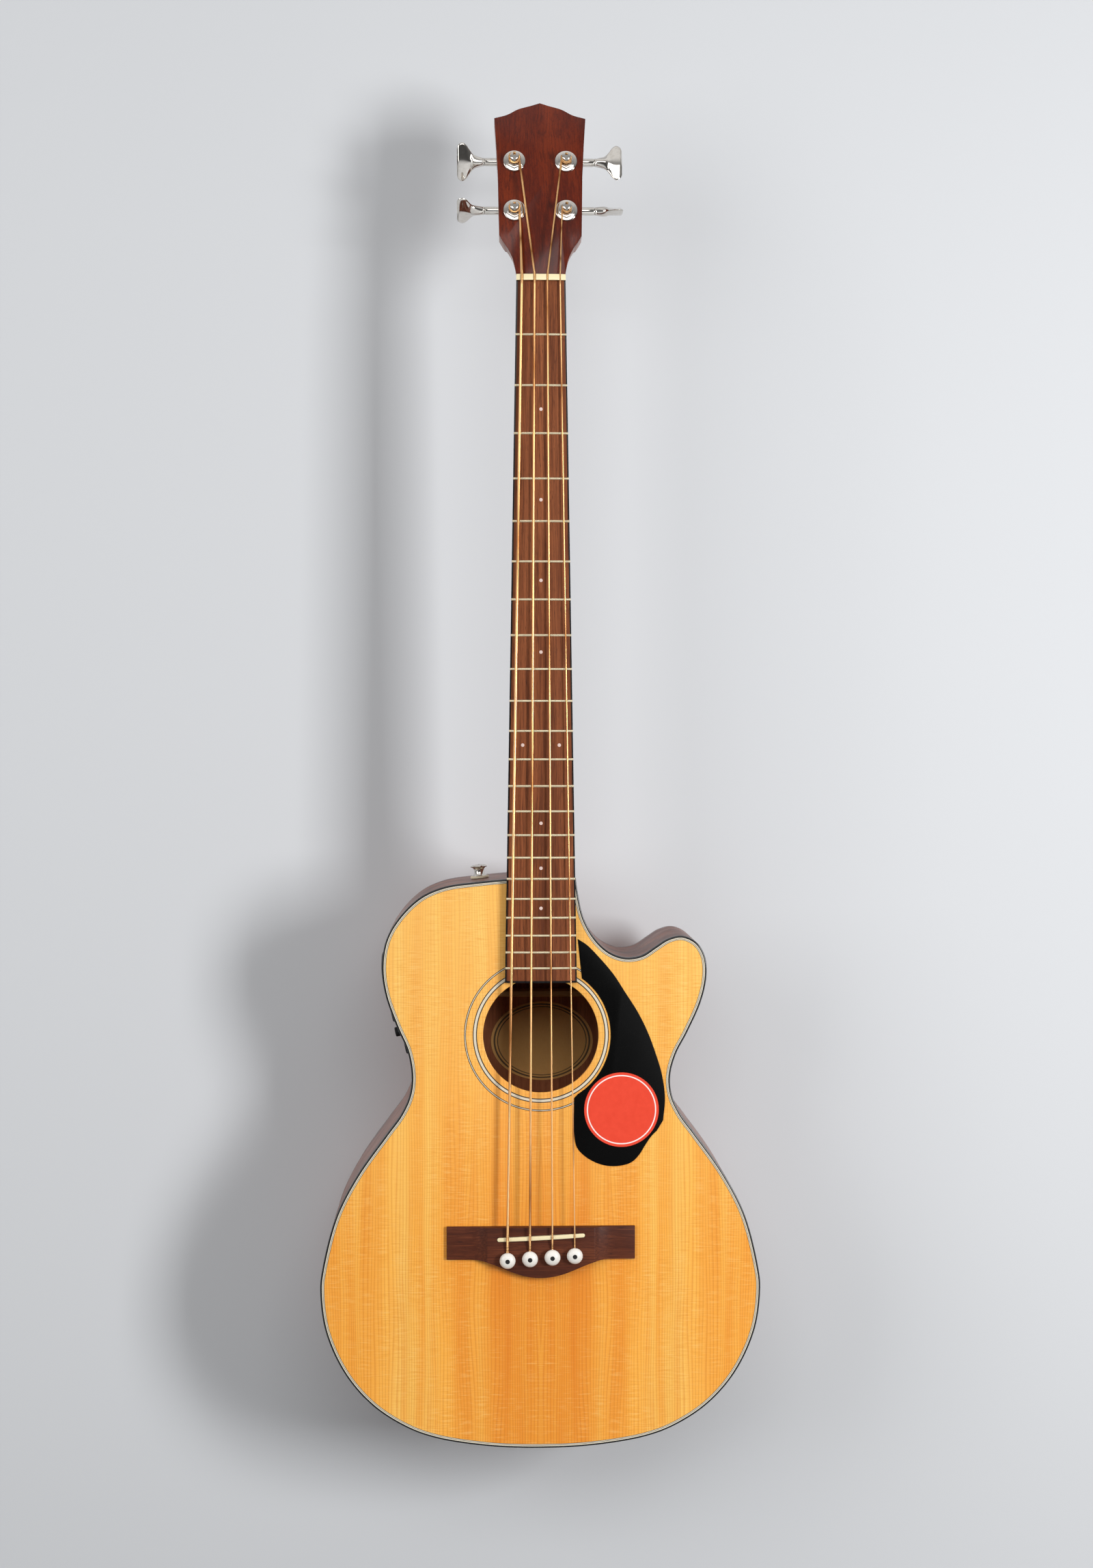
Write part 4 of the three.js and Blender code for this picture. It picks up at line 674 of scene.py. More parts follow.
def bumped(tree, shader, height, strength):
    inputs = {"Height": height, "Strength": strength, "Distance": 0.001}
    fill(tree, shader, {"Normal": add(tree, "ShaderNodeBump", inputs).outputs[0]})


def polished(tree, shader, place, roughness, bump=0.02, heights=()):
    """Roughness and bump from handling, with any further heights added."""
    wear = placed(tree, HANDLING, {"Vector": place, "Roughness": roughness})
    height = times(tree, wear["Height"], 0.3)
    for extra, amount in heights:
        height = plus(tree, height, times(tree, extra, amount))
    fill(tree, shader, {"Roughness": wear["Roughness"]})
    bumped(tree, shader, height, bump)
    return wear


def mirrored_about_centre(tree, place):
    """The place with its left half folded on to its right, as two matched boards are."""
    parts = split(tree, place)
    folded = sums(tree, "ABSOLUTE", parts[0])
    return add(tree, "ShaderNodeCombineXYZ", {0: folded, 1: parts[1], 2: parts[2]}).outputs[0]


def spruce_finish():
    """Aged honey spruce under lacquer, two boards matched at the centre line."""
    material, tree, shader, place = new_finish("honey_spruce")
    folded = mirrored_about_centre(tree, place)
    wood = placed(tree, GRAIN, {"Vector": folded, "Line Scale": 0.125, "Waver": 2.2})
    broad = graded(
        tree, wood["Tone"],
        (0.32, rgb(244, 162, 58)), (0.5, rgb(253, 184, 78)), (0.68, rgb(255, 204, 104)),
    )
    streaks = graded(tree, wood["Streaks"], (0.36, 1.0), (0.54, 0.0))
    streaked = blended(tree, times(tree, streaks, 0.36), broad, rgb(236, 146, 44))
    late = graded(tree, wood["Lines"], (0.0, 0.0), (0.55, 0.1), (0.84, 1.0), (1.0, 0.5))
    lined = blended(tree, times(tree, late, 0.5), streaked, rgb(216, 126, 34))
    parts = split(tree, folded)
    height = sums(tree, "DIVIDE", sums(tree, "SUBTRACT", parts[2], BODY_TAIL), BODY_LENGTH)
    centre = graded(
        tree, sums(tree, "DIVIDE", parts[0], BODY_WIDTH / 2),
        (0.0, rgb(240, 210, 160)), (0.2, rgb(244, 220, 182)), (0.42, rgb(255, 250, 240)),
        (0.6, rgb(250, 240, 222)), (0.67, rgb(255, 255, 255)), (0.73, rgb(255, 255, 255)),
        (0.8, rgb(250, 238, 218)), (1.0, rgb(252, 242, 226)),
    )
    low = graded(tree, height, (0.3, 0.9), (0.7, 0.3), (1.0, 0.1))
    toned = blended(tree, low, lined, blended(tree, 1.0, lined, centre, "MULTIPLY"))
    # Painted light: the top is painted paler towards the neck end, as light falling brighter on the
    # upper body, and so darker towards the bottom.
    high = graded(tree, height, (0.35, 0.0), (0.95, 0.4))
    painted_upper_light = blended(tree, high, toned, rgb(255, 212, 126))
    dull = graded(tree, wood["Silk"], (0.36, 1.0), (0.48, 0.0))
    dulled = blended(tree, times(tree, dull, 0.38), painted_upper_light, rgb(224, 140, 44))
    bright = graded(tree, wood["Silk"], (0.52, 0.0), (0.64, 1.0))
    silky = blended(tree, times(tree, bright, 0.3), dulled, rgb(255, 216, 136))
    polished(tree, shader, place, 0.36, 0.05, [(late, -0.25)])
    fill(tree, shader, {
        "Base Color": silky, "Specular IOR Level": 0.35, "Coat Weight": 0.12,
        "Coat Roughness": 0.14,
    })
    return material


def board_finish(name, tones, line_scale, roughness, coat, turn=None, matched=False,
                 contrast=0.5, streak=0.3, shine=0.3):
    """A hardwood with dark, middle, light and pore tones; turn lays its grain another way."""
    material, tree, shader, place = new_finish(name)
    dark, middle, light, pore = (rgb(*tone) for tone in tones)
    laid = mirrored_about_centre(tree, place) if matched else place
    if turn:
        laid = add(tree, "ShaderNodeMapping", {"Vector": laid, "Rotation": turn}).outputs[0]
    wood = placed(
        tree, GRAIN,
        {"Vector": laid, "Line Scale": line_scale, "Waver": 3.0, "Streak Scale": streak},
    )
    broad = graded(tree, wood["Tone"], (0.32, dark), (0.5, middle), (0.68, light))
    sunk = graded(tree, wood["Streaks"], (0.36, 1.0), (0.5, 0.0))
    raised = graded(tree, wood["Streaks"], (0.52, 0.0), (0.66, 1.0))
    darker = blended(tree, times(tree, sunk, contrast * 0.8), broad, dark)
    streaked = blended(tree, times(tree, raised, contrast * 0.6), darker, light)
    lines = graded(tree, wood["Lines"], (0.0, 0.0), (0.7, 0.3), (0.92, 1.0))
    lined = blended(tree, times(tree, lines, contrast * 0.5), streaked, dark)
    polished(tree, shader, place, roughness, 0.08, [(wood["Pores"], -0.5)])
    fill(tree, shader, {
        "Base Color": blended(tree, times(tree, wood["Pores"], contrast), lined, pore),
        "Specular IOR Level": shine, "Coat Weight": coat, "Coat Roughness": 0.1,
    })
    return material


def plain_finish(name, colour, roughness, coat=0.0, speckle=0.08, bump=0.02, shine=0.5):
    """A cast or machined plastic, its colour a little uneven and with a little dust in patches."""
    material, tree, shader, place = new_finish(name)
    base = rgb(*colour)
    darker = tuple(c * (1 - speckle * 2) for c in base[:3]) + (1,)
    wear = polished(tree, shader, place, roughness, bump)
    uneven = blended(tree, noise(tree, place, (0.06, 0.06, 0.06), 4.0), darker, base)
    dusty = blended(tree, times(tree, wear["Dust"], 0.03), uneven, rgb(190, 186, 180))
    fill(tree, shader, {
        "Base Color": dusty, "Specular IOR Level": shine, "Coat Weight": coat,
        "Coat Roughness": 0.06,
    })
    return material


def metal_finish(name, colour, roughness, tarnish):
    """Plated or drawn metal with faint tarnish and polishing marks."""
    material, tree, shader, place = new_finish(name)
    polished(tree, shader, place, roughness)
    cloud = noise(tree, place, (0.25, 0.25, 0.25), 5.0, 0.65)
    spots = times(tree, graded(tree, cloud, (0.45, 0.0), (0.75, 1.0)), 0.5)
    base = blended(tree, spots, rgb(*colour), rgb(*tarnish))
    fill(tree, shader, {"Base Color": base, "Metallic": 1.0})
    return material


def wound_string_finish(name, wire, painted_groove_shade, pitch):
    """Bronze wire wound close round a core; the winding follows the string's own length."""
    material, tree, shader, place = new_finish(name)
    along = add(tree, "ShaderNodeAttribute", attribute_name="along").outputs["Fac"]
    turns = times(tree, times(tree, along, math.tau / pitch), 0.5)
    wave = sums(tree, "ABSOLUTE", sums(tree, "SINE", turns))
    polished(tree, shader, place, 0.32, 0.5, [(wave, 0.4)])
    # Painted shade: the grooves between the turns take the darker colour, as shade where the turns
    # of wire meet.
    base = blended(tree, graded(tree, wave, (0.0, 1.0), (0.5, 0.0)), rgb(*wire), rgb(*painted_groove_shade))
    fill(tree, shader, {"Base Color": base, "Metallic": 1.0})
    return material


def label_finish():
    """Bare cream paper with thin dark rings round an oval."""
    material, tree, shader, place = new_finish("oval_label_paper")
    parts = split(tree, place)
    shares = [
        sums(tree, "DIVIDE", sums(tree, "SUBTRACT", parts[axis], LABEL_CENTRE[i]), LABEL_HALF[i])
        for i, axis in enumerate((0, 2))
    ]
    reach = sums(tree, "SQRT", plus(tree, *(times(tree, share, share) for share in shares)))
    rings = graded(
        tree, reach,
        (0.0, 0.0), (0.855, 0.0), (0.865, 1.0), (0.875, 1.0), (0.885, 0.0), (0.91, 0.0),
        (0.92, 1.0), (0.945, 1.0), (0.955, 0.0),
    )
    fibres = noise(tree, place, (0.9, 0.9, 0.3), 4.0, 0.7)
    paper = blended(tree, fibres, rgb(234, 172, 96), rgb(250, 194, 118))
    inked = blended(tree, times(tree, rings, 0.85), paper, rgb(46, 40, 34))
    fill(tree, shader, {"Base Color": inked, "Roughness": 0.75})
    bumped(tree, shader, fibres, 0.15)
    return material


def sticker_finish():
    """A plain red-orange disc with a white ring near its edge."""
    material, tree, shader, place = new_finish("round_sticker_vinyl")
    middle = (STICKER_CENTRE[0], 0, STICKER_CENTRE[1])
    out = place
    for operation, other in (("SUBTRACT", middle), ("MULTIPLY", (1, 0, 1))):
        out = add(tree, "ShaderNodeVectorMath", {0: out, 1: other}, operation=operation).outputs[0]
    reach = add(tree, "ShaderNodeVectorMath", {0: out}, operation="LENGTH").outputs["Value"]
    ring = graded(
        tree, sums(tree, "DIVIDE", reach, STICKER_RADIUS),
        (0.0, 0.0), (0.895, 0.0), (0.905, 1.0), (0.925, 1.0), (0.935, 0.0), (1.0, 0.0),
    )
    ink = noise(tree, place, (0.2, 0.2, 0.2), 3.0)
    red = blended(tree, ink, rgb(226, 66, 44), rgb(240, 80, 56))
    polished(tree, shader, place, 0.35, 0.03)
    fill(tree, shader, {
        "Base Color": blended(tree, ring, red, rgb(250, 240, 236)), "Specular IOR Level": 0.3,
    })
    return material


ACROSS = (0, math.radians(90), 0)

spruce = spruce_finish()
mahogany = board_finish(
    "mahogany_body", ((74, 36, 22), (104, 54, 34), (128, 72, 46), (42, 19, 12)),
    0.09, 0.42, 0.08, contrast=0.6, shine=0.2,
)
back_mahogany = board_finish(
    "mahogany_back", ((88, 40, 22), (118, 58, 34), (144, 76, 46), (48, 21, 12)),
    0.06, 0.3, 0.3, matched=True, contrast=0.55,
)
inner_mahogany = board_finish(
    "mahogany_unfinished", ((142, 82, 52), (170, 102, 66), (190, 120, 80), (96, 50, 30)),
    0.06, 0.8, 0.0, contrast=0.6, streak=0.6,
)
neck_mahogany = board_finish(
    "mahogany_neck", ((92, 46, 28), (114, 60, 38), (134, 76, 50), (56, 26, 16)),
    0.08, 0.4, 0.15,
)
head_gloss = board_finish(
    "headstock_face", ((70, 20, 6), (94, 28, 7), (118, 42, 12), (42, 12, 4)),
    0.12, 0.22, 0.22, contrast=0.8, streak=0.5, shine=0.2,
)
board_rosewood = board_finish(
    "fingerboard_rosewood",
    ((84, 42, 24), (124, 68, 38), (156, 92, 56), (54, 27, 17)),
    0.13, 0.55, 0.0, contrast=0.85, streak=0.7, shine=0.15,
)
bridge_rosewood = board_finish(
    "bridge_rosewood", ((62, 26, 14), (88, 42, 24), (116, 62, 38), (38, 16, 10)),
    0.16, 0.5, 0.0, turn=ACROSS, contrast=0.85, streak=0.8, shine=0.2,
)
brace_wood = board_finish(
    "brace_spruce", ((186, 138, 84), (212, 168, 110), (230, 190, 134), (160, 110, 60)),
    0.25, 0.7, 0.0, turn=ACROSS, contrast=0.3,
)
block_wood = board_finish(
    "block_mahogany", ((120, 78, 50), (150, 100, 66), (172, 120, 82), (90, 52, 32)),
    0.12, 0.7, 0.0, contrast=0.4,
)
black_celluloid = plain_finish("black_binding", (15, 14, 14), 0.28, 0.1, shine=0.3)
black_guard = plain_finish("pickguard_black", (5, 5, 5), 0.42, shine=0.05)
black_moulded = plain_finish(
    "preamp_black", (26, 26, 28), 0.5, bump=0.12, shine=0.3
)
white_trim = plain_finish("white_trim", (232, 222, 200), 0.35, 0.2)
dark_trim = plain_finish("dark_trim", (28, 20, 16), 0.35, 0.1, shine=0.3)
ring_trim = plain_finish("ring_trim", (74, 58, 44), 0.4, 0.1, shine=0.3)
cream_bone = plain_finish("cream_bone", (252, 236, 190), 0.35, 0.2)
pin_white = plain_finish("pin_white", (244, 240, 232), 0.3, 0.3)
pin_black = plain_finish("pin_black", (20, 18, 18), 0.3, 0.2, shine=0.3)
dot_pearl = plain_finish("dot_pearl", (240, 214, 204), 0.25, 0.4, speckle=0.12)
felt_cream = plain_finish("washer_felt", (226, 214, 186), 0.9, bump=0.5)
printed_white = plain_finish("panel_marks", (214, 214, 210), 0.5)
chrome = metal_finish("chrome_plate", (216, 211, 204), 0.07, (172, 165, 156))
steel = metal_finish("plain_steel", (176, 174, 170), 0.32, (120, 112, 104))
nickel = metal_finish("fret_nickel", (222, 208, 176), 0.28, (180, 164, 134))
paper_label = label_finish()
sticker_vinyl = sticker_finish()
# The first colour is the wire; the second is painted shade in the grooves between the turns.
wound = {
    name: wound_string_finish(
        f"wound_string_{name}", (242, 192, 132), (164, 110, 64), diameter * 0.2 * MM
    )
    for name, diameter in zip(STRINGS, DIAMETERS)
}


# Body: top, purfling, binding, sides, back


def dressed(material, *nodes):
    """Solids that stay as they are and take a finish."""
    for node in nodes:
        coated(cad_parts[node], material)


def rear(lift):
    """A depth that stays one distance in front of the back's edge."""
    return lambda z: back_depth(z) - lift


def trim(profile):
    """A strip that follows the body's outline, from pairs of inset and depth."""
    rings = []
    for distance, depth in profile:
        line = inset(body_line, distance)
        rings.append([(x, depth(z) if callable(depth) else depth, z) for x, z in line])
    return skin(rings, closed=True)


def saddle_line(x):
    return SADDLE_Z + x * math.tan(SADDLE_SLANT)


def string_x(i, width):
    return -width / 2 + i * width / 3


pin_spots = [
    (x, PIN_ROW_Z + x * math.tan(PIN_ROW_SLANT))
    for x in (string_x(i, SPREAD_AT_BRIDGE) for i in range(4))
]


def pin_borings(low, high):
    """Cutters for the pins' holes and for the strings beside them."""
    tools = []
    for (x, z), diameter in zip(pin_spots, DIAMETERS):
        slot = z + STRING_SLOT
        tools.append(cylinder(PIN_HOLE, (x, low, z), (x, high, z)))
        tools.append(cylinder(diameter / 2 + 0.3, (x, low, slot), (x, high, slot), 20))
    return tools


def make_top():
    top = plate(inset(body_line, BINDING_WIDTH), 0, TOP_THICKNESS)
    cut(top, cylinder(HOLE_RADIUS, (0, -5, -HOLE_DROP), (0, 8, -HOLE_DROP), 128))
    with editing(top):
        pick(
            top,
            lambda spot, way: abs(math.hypot(spot.x, spot.z + HOLE_DROP) - HOLE_RADIUS) < 0.6
            and abs(way.y) < 0.5,
            "EDGE",
        )
        bpy.ops.mesh.bevel(offset=0.6 * MM, segments=3)
    cut(top, *pin_borings(-2, 6))
    mended(top)
    finished(top, "top_plate", spruce, "soundboard")

    for name, near, far, material in (
        ("purfling_outer_white", 1.6, 2.4, white_trim),
        ("purfling_outer_black", 2.4, 2.75, dark_trim),
        ("purfling_inner_white", 2.75, 3.35, white_trim),
        ("purfling_inner_black", 3.35, 3.7, dark_trim),
    ):
        strip = trim([(near, 0.6), (near, -0.03), (far, -0.03), (far, 0.6)])
        finished(strip, name, material)


def make_bindings():
    wide, deep = BINDING_WIDTH, BINDING_DEPTH
    front = trim([(0, deep), (0, 0.9), (0.25, 0.3), (0.8, 0), (wide, 0), (wide, deep)])
    finished(front, "rim_binding_front", black_celluloid, "top_binding")
    back = trim([
        (0, rear(deep)), (wide, rear(deep)), (wide, rear(0.05)), (0.8, rear(0.05)),
        (0.25, rear(0.3)), (0, rear(0.9)),
    ])
    finished(back, "rim_binding_back", black_celluloid, "back_binding")
    strip = trim([(wide, rear(0.6)), (wide, rear(0.02)), (2.3, rear(0.02)), (2.3, rear(0.6))])
    finished(strip, "purfling_back_white", white_trim)


# The preamp panel's frame: x runs down the side, z out of it. Its knobs are given as place,
# name, radius and rise.
BUTTON_X = -5
KNOBS = [(38, "volume", 6, 2.4), (23, "treble", 4.2, 5.6), (8, "bass", 6, 2.4)]
PREAMP = Matrix((
    (0.227666, 0, -0.973739, -129.223),
    (0, -1, 0, 54),
    (-0.973739, 0, -0.227666, -623.438),
    (0, 0, 0, 1),
))


def make_sides():
    wood = SIDE_THICKNESS
    rim = trim([
        (0, 6.02), (1.7, 6.02), (1.7, 3.05), (2.4, 3.05), (7.9, 3.05), (7.9, 10), (wood, 17.3),
        (wood, rear(17.1)), (7.9, rear(10)), (7.9, rear(3)), (2.4, rear(3)), (1.7, rear(3)),
        (1.7, rear(6.02)), (0, rear(6.02)),
    ])
    throat = box((-12.4, -5, BODY_TOP - 12), (12.4, 140, BODY_TOP + 5))
    jack = cylinder(6.5, (0, JACK_DEPTH, BODY_TAIL - 5), (0, JACK_DEPTH, BODY_TAIL + 20))
    cut(rim, throat, jack)
    rib_treble = copied(rim)
    for rib, side in ((rim, -1), (rib_treble, 1)):
        with editing(rib, everything=True):
            bpy.ops.mesh.bisect(
                plane_co=(side * 0.04 * MM, 0, 0), plane_no=(-side, 0, 0), use_fill=True,
                clear_outer=True, threshold=MERGE,
            )
    panel_room = moved(box((-44.3, -17.3, -30), (44.3, 17.3, 8)), PREAMP)
    sleeve_room = moved(box((-43.5, -10.9, -30), (-12.5, 10.9, 8)), PREAMP)
    cut(rim, panel_room, sleeve_room)
    finished(rim, "rib_bass", mahogany, "side_bass")
    finished(rib_treble, "rib_treble", mahogany, "side_treble")


BACK_CENTRE = Vector((0, (BODY_TOP + BODY_TAIL) / 2 - BODY_LENGTH / 40))
back_edge = inset(body_line, BINDING_WIDTH)


def dome(share, z):
    """The back's depth at a share of the way from its centre to its edge."""
    return back_depth(z) + BACK_DOME * (1 - share ** 2)


def reach_share(x, z):
    """How far a place on the back is from its centre, as a share of the way to the edge."""
    way = Vector((x, z)) - BACK_CENTRE
    if way.length < 1:
        return 0
    share = 0
    for a, b in zip(back_edge, back_edge[1:] + back_edge[:1]):
        a, b = a - BACK_CENTRE, b - BACK_CENTRE
        side = b - a
        turn = way.x * side.y - way.y * side.x
        if abs(turn) < 1e-9:
            continue
        along = (a.x * side.y - a.y * side.x) / turn
        across = (a.x * way.y - a.y * way.x) / turn
        if along > 0 and -1e-9 <= across <= 1 + 1e-9:
            share = max(share, 1 / along)
    return min(share, 1)


def make_back():
    rings = []
    for share in (1, 0.97, 0.9, 0.8, 0.68, 0.55, 0.42, 0.3, 0.18, 0.08):
        ring = [BACK_CENTRE.lerp(point, share) for point in back_edge]
        rings.append([(x, dome(share, z) - 0.08, z) for x, z in ring])
    back = skin(rings, first_end=False)
    middle = max(back.data.polygons, key=lambda face: len(face.vertices))
    if middle.normal.y < 0:
        with editing(back, everything=True):
            bpy.ops.mesh.flip_normals()
    applied(back, "SOLIDIFY", thickness=(BACK_THICKNESS - 0.08) * MM, offset=-1)
    finished(back, "back_plate", back_mahogany, "back")
    second_finish(back, inner_mahogany, lambda spot, way: way.y < -0.7)


def make_label():
    rings = []
    for scale in (1, 0.8, 0.55, 0.3, 0.08):
        ring = []
        for i in range(64):
            angle = math.tau * i / 64
            x = LABEL_CENTRE[0] + LABEL_HALF[0] * scale * math.cos(angle)
            z = LABEL_CENTRE[1] + LABEL_HALF[1] * scale * math.sin(angle)
            ring.append((x, dome(reach_share(x, z), z) - BACK_THICKNESS - 0.25, z))
        rings.append(ring)
    label = skin(rings, first_end=False)
    applied(label, "SOLIDIFY", thickness=0.12 * MM, offset=0)
    outwards(label)
    finished(label, "oval_label", paper_label)


def make_rosette():
    for name, inner, outer, material, *nodes in (
        ("rosette_white", 55.5, 57.5, white_trim, "rosette"),
        ("rosette_inner_line", 54.6, 55.5, ring_trim),
        ("rosette_outer_line", 57.5, 58.3, ring_trim),
        ("rosette_far_line_in", 64.0, 64.6, ring_trim),
        ("rosette_far_white", 64.6, 65.2, white_trim),
        ("rosette_far_line_out", 65.2, 65.8, ring_trim),
    ):
        profile = [(inner, -0.03), (outer, -0.03), (outer, 0.9), (inner, 0.9)]
        ring = turned(profile, 128, closed=True)
        moved(ring, at(0, 0, -HOLE_DROP))
        finished(ring, name, material, *nodes)


def arc_line(centre, radius, degrees):
    """Points on a circle at the given degrees."""
    return [
        Vector((centre[0] + radius * math.cos(a), centre[1] + radius * math.sin(a)))
        for a in map(math.radians, degrees)
    ]


def guard_line(shares):
    left = board_half(-GUARD_START) + 1.6 - GUARD_WIDTH * 0.04
    spots = [(left + a * GUARD_WIDTH, -GUARD_START - b * GUARD_LENGTH) for a, b in shares]
    return flowing(spots, 3)


def make_guard():
    arc = arc_line((0, -HOLE_DROP), GUARD_ARC, range(-58, 55, 2))
    line = guard_line(GUARD_SHARES) + guard_line(GUARD_TAIL_SHARES)[1:] + arc
    guard = plate(line, -0.8, 0.02)
    room = [
        (board_half(0) + 0.3, 0), (board_half(-BOARD_END) + 0.3, -BOARD_END - 0.3),
        (-board_half(-BOARD_END) - 0.3, -BOARD_END - 0.3), (-board_half(0) - 0.3, 0),
    ]
    cut(guard, plate(room, -3, 3))
    with editing(guard):
        pick(guard, lambda spot, way: spot.y < -0.7, "EDGE")
        bpy.ops.mesh.region_to_loop()
        bpy.ops.mesh.bevel(offset=0.5 * MM, segments=2)
    finished(guard, "guard_plate", black_guard, "pickguard")

    outline = arc_line(STICKER_CENTRE, STICKER_RADIUS, [3.75 * i for i in range(96)])
    sticker = plate(outline, -0.92, -0.8)
    with editing(sticker):
        pick(sticker, lambda spot, way: abs(way.y) > 0.9)
        bpy.ops.mesh.inset(thickness=0.15 * MM, use_even_offset=True)
    finished(sticker, "round_sticker", sticker_vinyl)


# Neck, headstock and heel


def head_points(shares):
    return [(a * HEAD_WIDTH / 2, b * HEAD_LENGTH) for a, b in shares]


def head_half(height):
    """Half the headstock's width at a height above the nut."""
    flare = head_points(FLARE_SHARES)
    for (xa, za), (xb, zb) in zip(flare, flare[1:]):
        if za <= height <= zb:
            return xa + (xb - xa) * (height - za) / (zb - za)
    return flare[0][0]


def neck_section(half, depth, power=2.0, top=0.0, count=32):
    """Half an ellipse, squarer as its power grows."""
    section = []
    for i in range(count + 1):
        angle = math.pi * i / count
        c, s = math.cos(angle), math.sin(angle)
        x = half * math.copysign(abs(c) ** (2 / power), c)
        section.append((x, top + (depth - top) * abs(s) ** (2 / power)))
    return section


def head_line():
    edge = [Vector(point) for point in head_points(EDGE_SHARES)]
    crest = flowing(head_points(CREST_SHARES), 2)
    right = flowing(head_points(FLARE_SHARES), 2) + edge[:-1] + crest
    return right + [Vector((-p.x, p.y)) for p in right[-2::-1]]


def make_neck():
    root = NECK_DEPTH_AT_HEEL
    heel_start = BODY_TOP + SEAT + HEEL_LENGTH
    heel = flowing([(a * HEEL_LENGTH, d * (HEEL_DEPTH - root)) for a, d in HEEL_SHARES], 4)
    shaft = [
        (z, NECK_DEPTH_AT_NUT + (root - NECK_DEPTH_AT_NUT) * z / heel_start)
        for z in (-60, -120, -180, -240, -300, -360, -400)
    ]
    stations = shaft + [(heel_start - along, root + deep) for along, deep in heel]
    rings = []
    for z, depth in [*reversed(stations), (-25, 14.9), (-10, 14.8)]:
        rings.append([(x, y, z) for x, y in neck_section(board_half(z), depth)])
    nut_half = NUT_WIDTH / 2
    # height above the nut, share of the head's tilt, half width, depth, squareness, face
    turning = [
        (-5.5, 0.0, nut_half, 14.7, 2.0, 0), (-0.3, 0.3, nut_half, 14.9, 2.1, 0),
        (0.0, 0.35, nut_half, 14.9, 2.12, 0.8), (5, 0.75, head_half(5), 15.3, 2.5, 0.8),
        (10, 1, head_half(10), 15.4, 3.2, 0.8), (15, 1, head_half(15), 15.2, 4.2, 0.8),
        (20, 1, head_half(20), 15.05, 6, 0.8), (25, 1, head_half(25), 15, 9, 0.8),
        (30, 1, head_half(30) - 0.05, 14.97, 14, 0.83),
        (34, 1, head_half(34) - 0.1, 14.9, 18, 0.9),
    ]
    for height, share, half, depth, power, top in turning:
        lean = head_place(share)
        section = neck_section(half, depth, power, top)
        rings.append([tuple(lean @ Vector((x, y, height))) for x, y in section])
    neck = skin(rings)
    with editing(neck, everything=True):
        bpy.ops.mesh.bisect(
            plane_co=(0, (HEEL_CAP_START - SEAT) * MM, 0), plane_no=(0, 1, 0), use_fill=True,
            clear_outer=True,
        )

    outline = head_line()
    slab = plate(outline, 0.8, HEAD_THICKNESS)
    cut(slab, box((-60, -5, -20), (60, 30, 27)))
    eased(slab, 1.3, 3, 40)
    moved(slab, HEAD)
    cut(neck, slab, operation="UNION")
    veneer = plate(outline, 0, 0.78)
    rim_eased(veneer, lambda spot, way: way.y < -0.9, 0.35)
    moved(veneer, HEAD)
    for side, row in POSTS:
        spot = (side * POST_SPREAD / 2, POST_HEIGHTS[row])
        for piece in (neck, veneer):
            drill = cylinder(5.5, (spot[0], -4, spot[1]), (spot[0], 20, spot[1]))
            cut(piece, moved(drill, HEAD))
    finished(neck, "neck_and_head", neck_mahogany, "neck", smooth=28)
    finished(veneer, "headstock_veneer", head_gloss)


def make_heel_cap():
    end = BODY_TOP + SEAT
    half = board_half(end) * math.sqrt(1 - (HEEL_CAP_START / HEEL_DEPTH) ** 2)
    reach = HEEL_LENGTH * 0.04
    line = flowing(
        [(half, end), (half * 0.86, end + reach * 0.6), (0, end + reach),
         (-half * 0.86, end + reach * 0.6), (-half, end)],
        1,
    )
    cap = plate(line, HEEL_CAP_START, DEPTH_AT_NECK)
    eased(cap, 0.4)
    finished(cap, "heel_cap_plate", black_celluloid, "heel_cap")


def make_fingerboard():
    rings = []
    for drop in (0, 0.6, 100, 200, 300, 400, 500, BOARD_END - 1.7, BOARD_END):
        half = board_half(-drop)
        inner = half - BOARD_EDGE
        lift = 0.4 if drop == 0 else 0.0
        across = [inner * (1 - i / 7) for i in range(15)]
        crest = [half, half - 0.35, *across, -half + 0.35, -half]
        ring = [(half, 0, -drop)]
        for i, x in enumerate(crest):
            fall = 0.3 if i in (0, len(crest) - 1) else 0
            ring.append((x, -BOARD_THICKNESS + crown(x) + fall + lift, -drop))
        ring.append((-half, 0, -drop))
        rings.append(ring)
    board = skin(rings)
    finished(board, "fretboard", board_rosewood, "fingerboard")
    second_finish(
        board, black_celluloid,
        lambda spot, way: abs(spot.x) > board_half(spot.z) - BOARD_EDGE
        or spot.z < -BOARD_END + 1.7,
    )

    for fret in range(1, FRETS + 1):
        drop = fret_drop(fret)
        make_fret(fret, drop, board_half(-drop) - 0.05)
    make_dots()


def make_fret(number, drop, half):
    """A fret wire with a rounded crown, bent to the board and bevelled at both ends."""
    bead = [(-1.15, 0.1), (-1.08, -0.3), (-0.8, -0.72), (-0.42, -1.0), (0, -1.09),
            (0.42, -1.0), (0.8, -0.72), (1.08, -0.3), (1.15, 0.1)]
    rings = []
    for x, tall in (
        (-half, 0.12), (-half + 0.5, 0.75), (-half + 1.0, 1), (-half / 2, 1), (0, 1),
        (half / 2, 1), (half - 1.0, 1), (half - 0.5, 0.75), (half, 0.12),
    ):
        base = -BOARD_THICKNESS + crown(x)
        rings.append([(x, base + min(y, y * tall), -drop + z) for z, y in bead])
    wire = skin(rings)
    finished(wire, f"fret_{number:02d}", nickel, smooth=60)


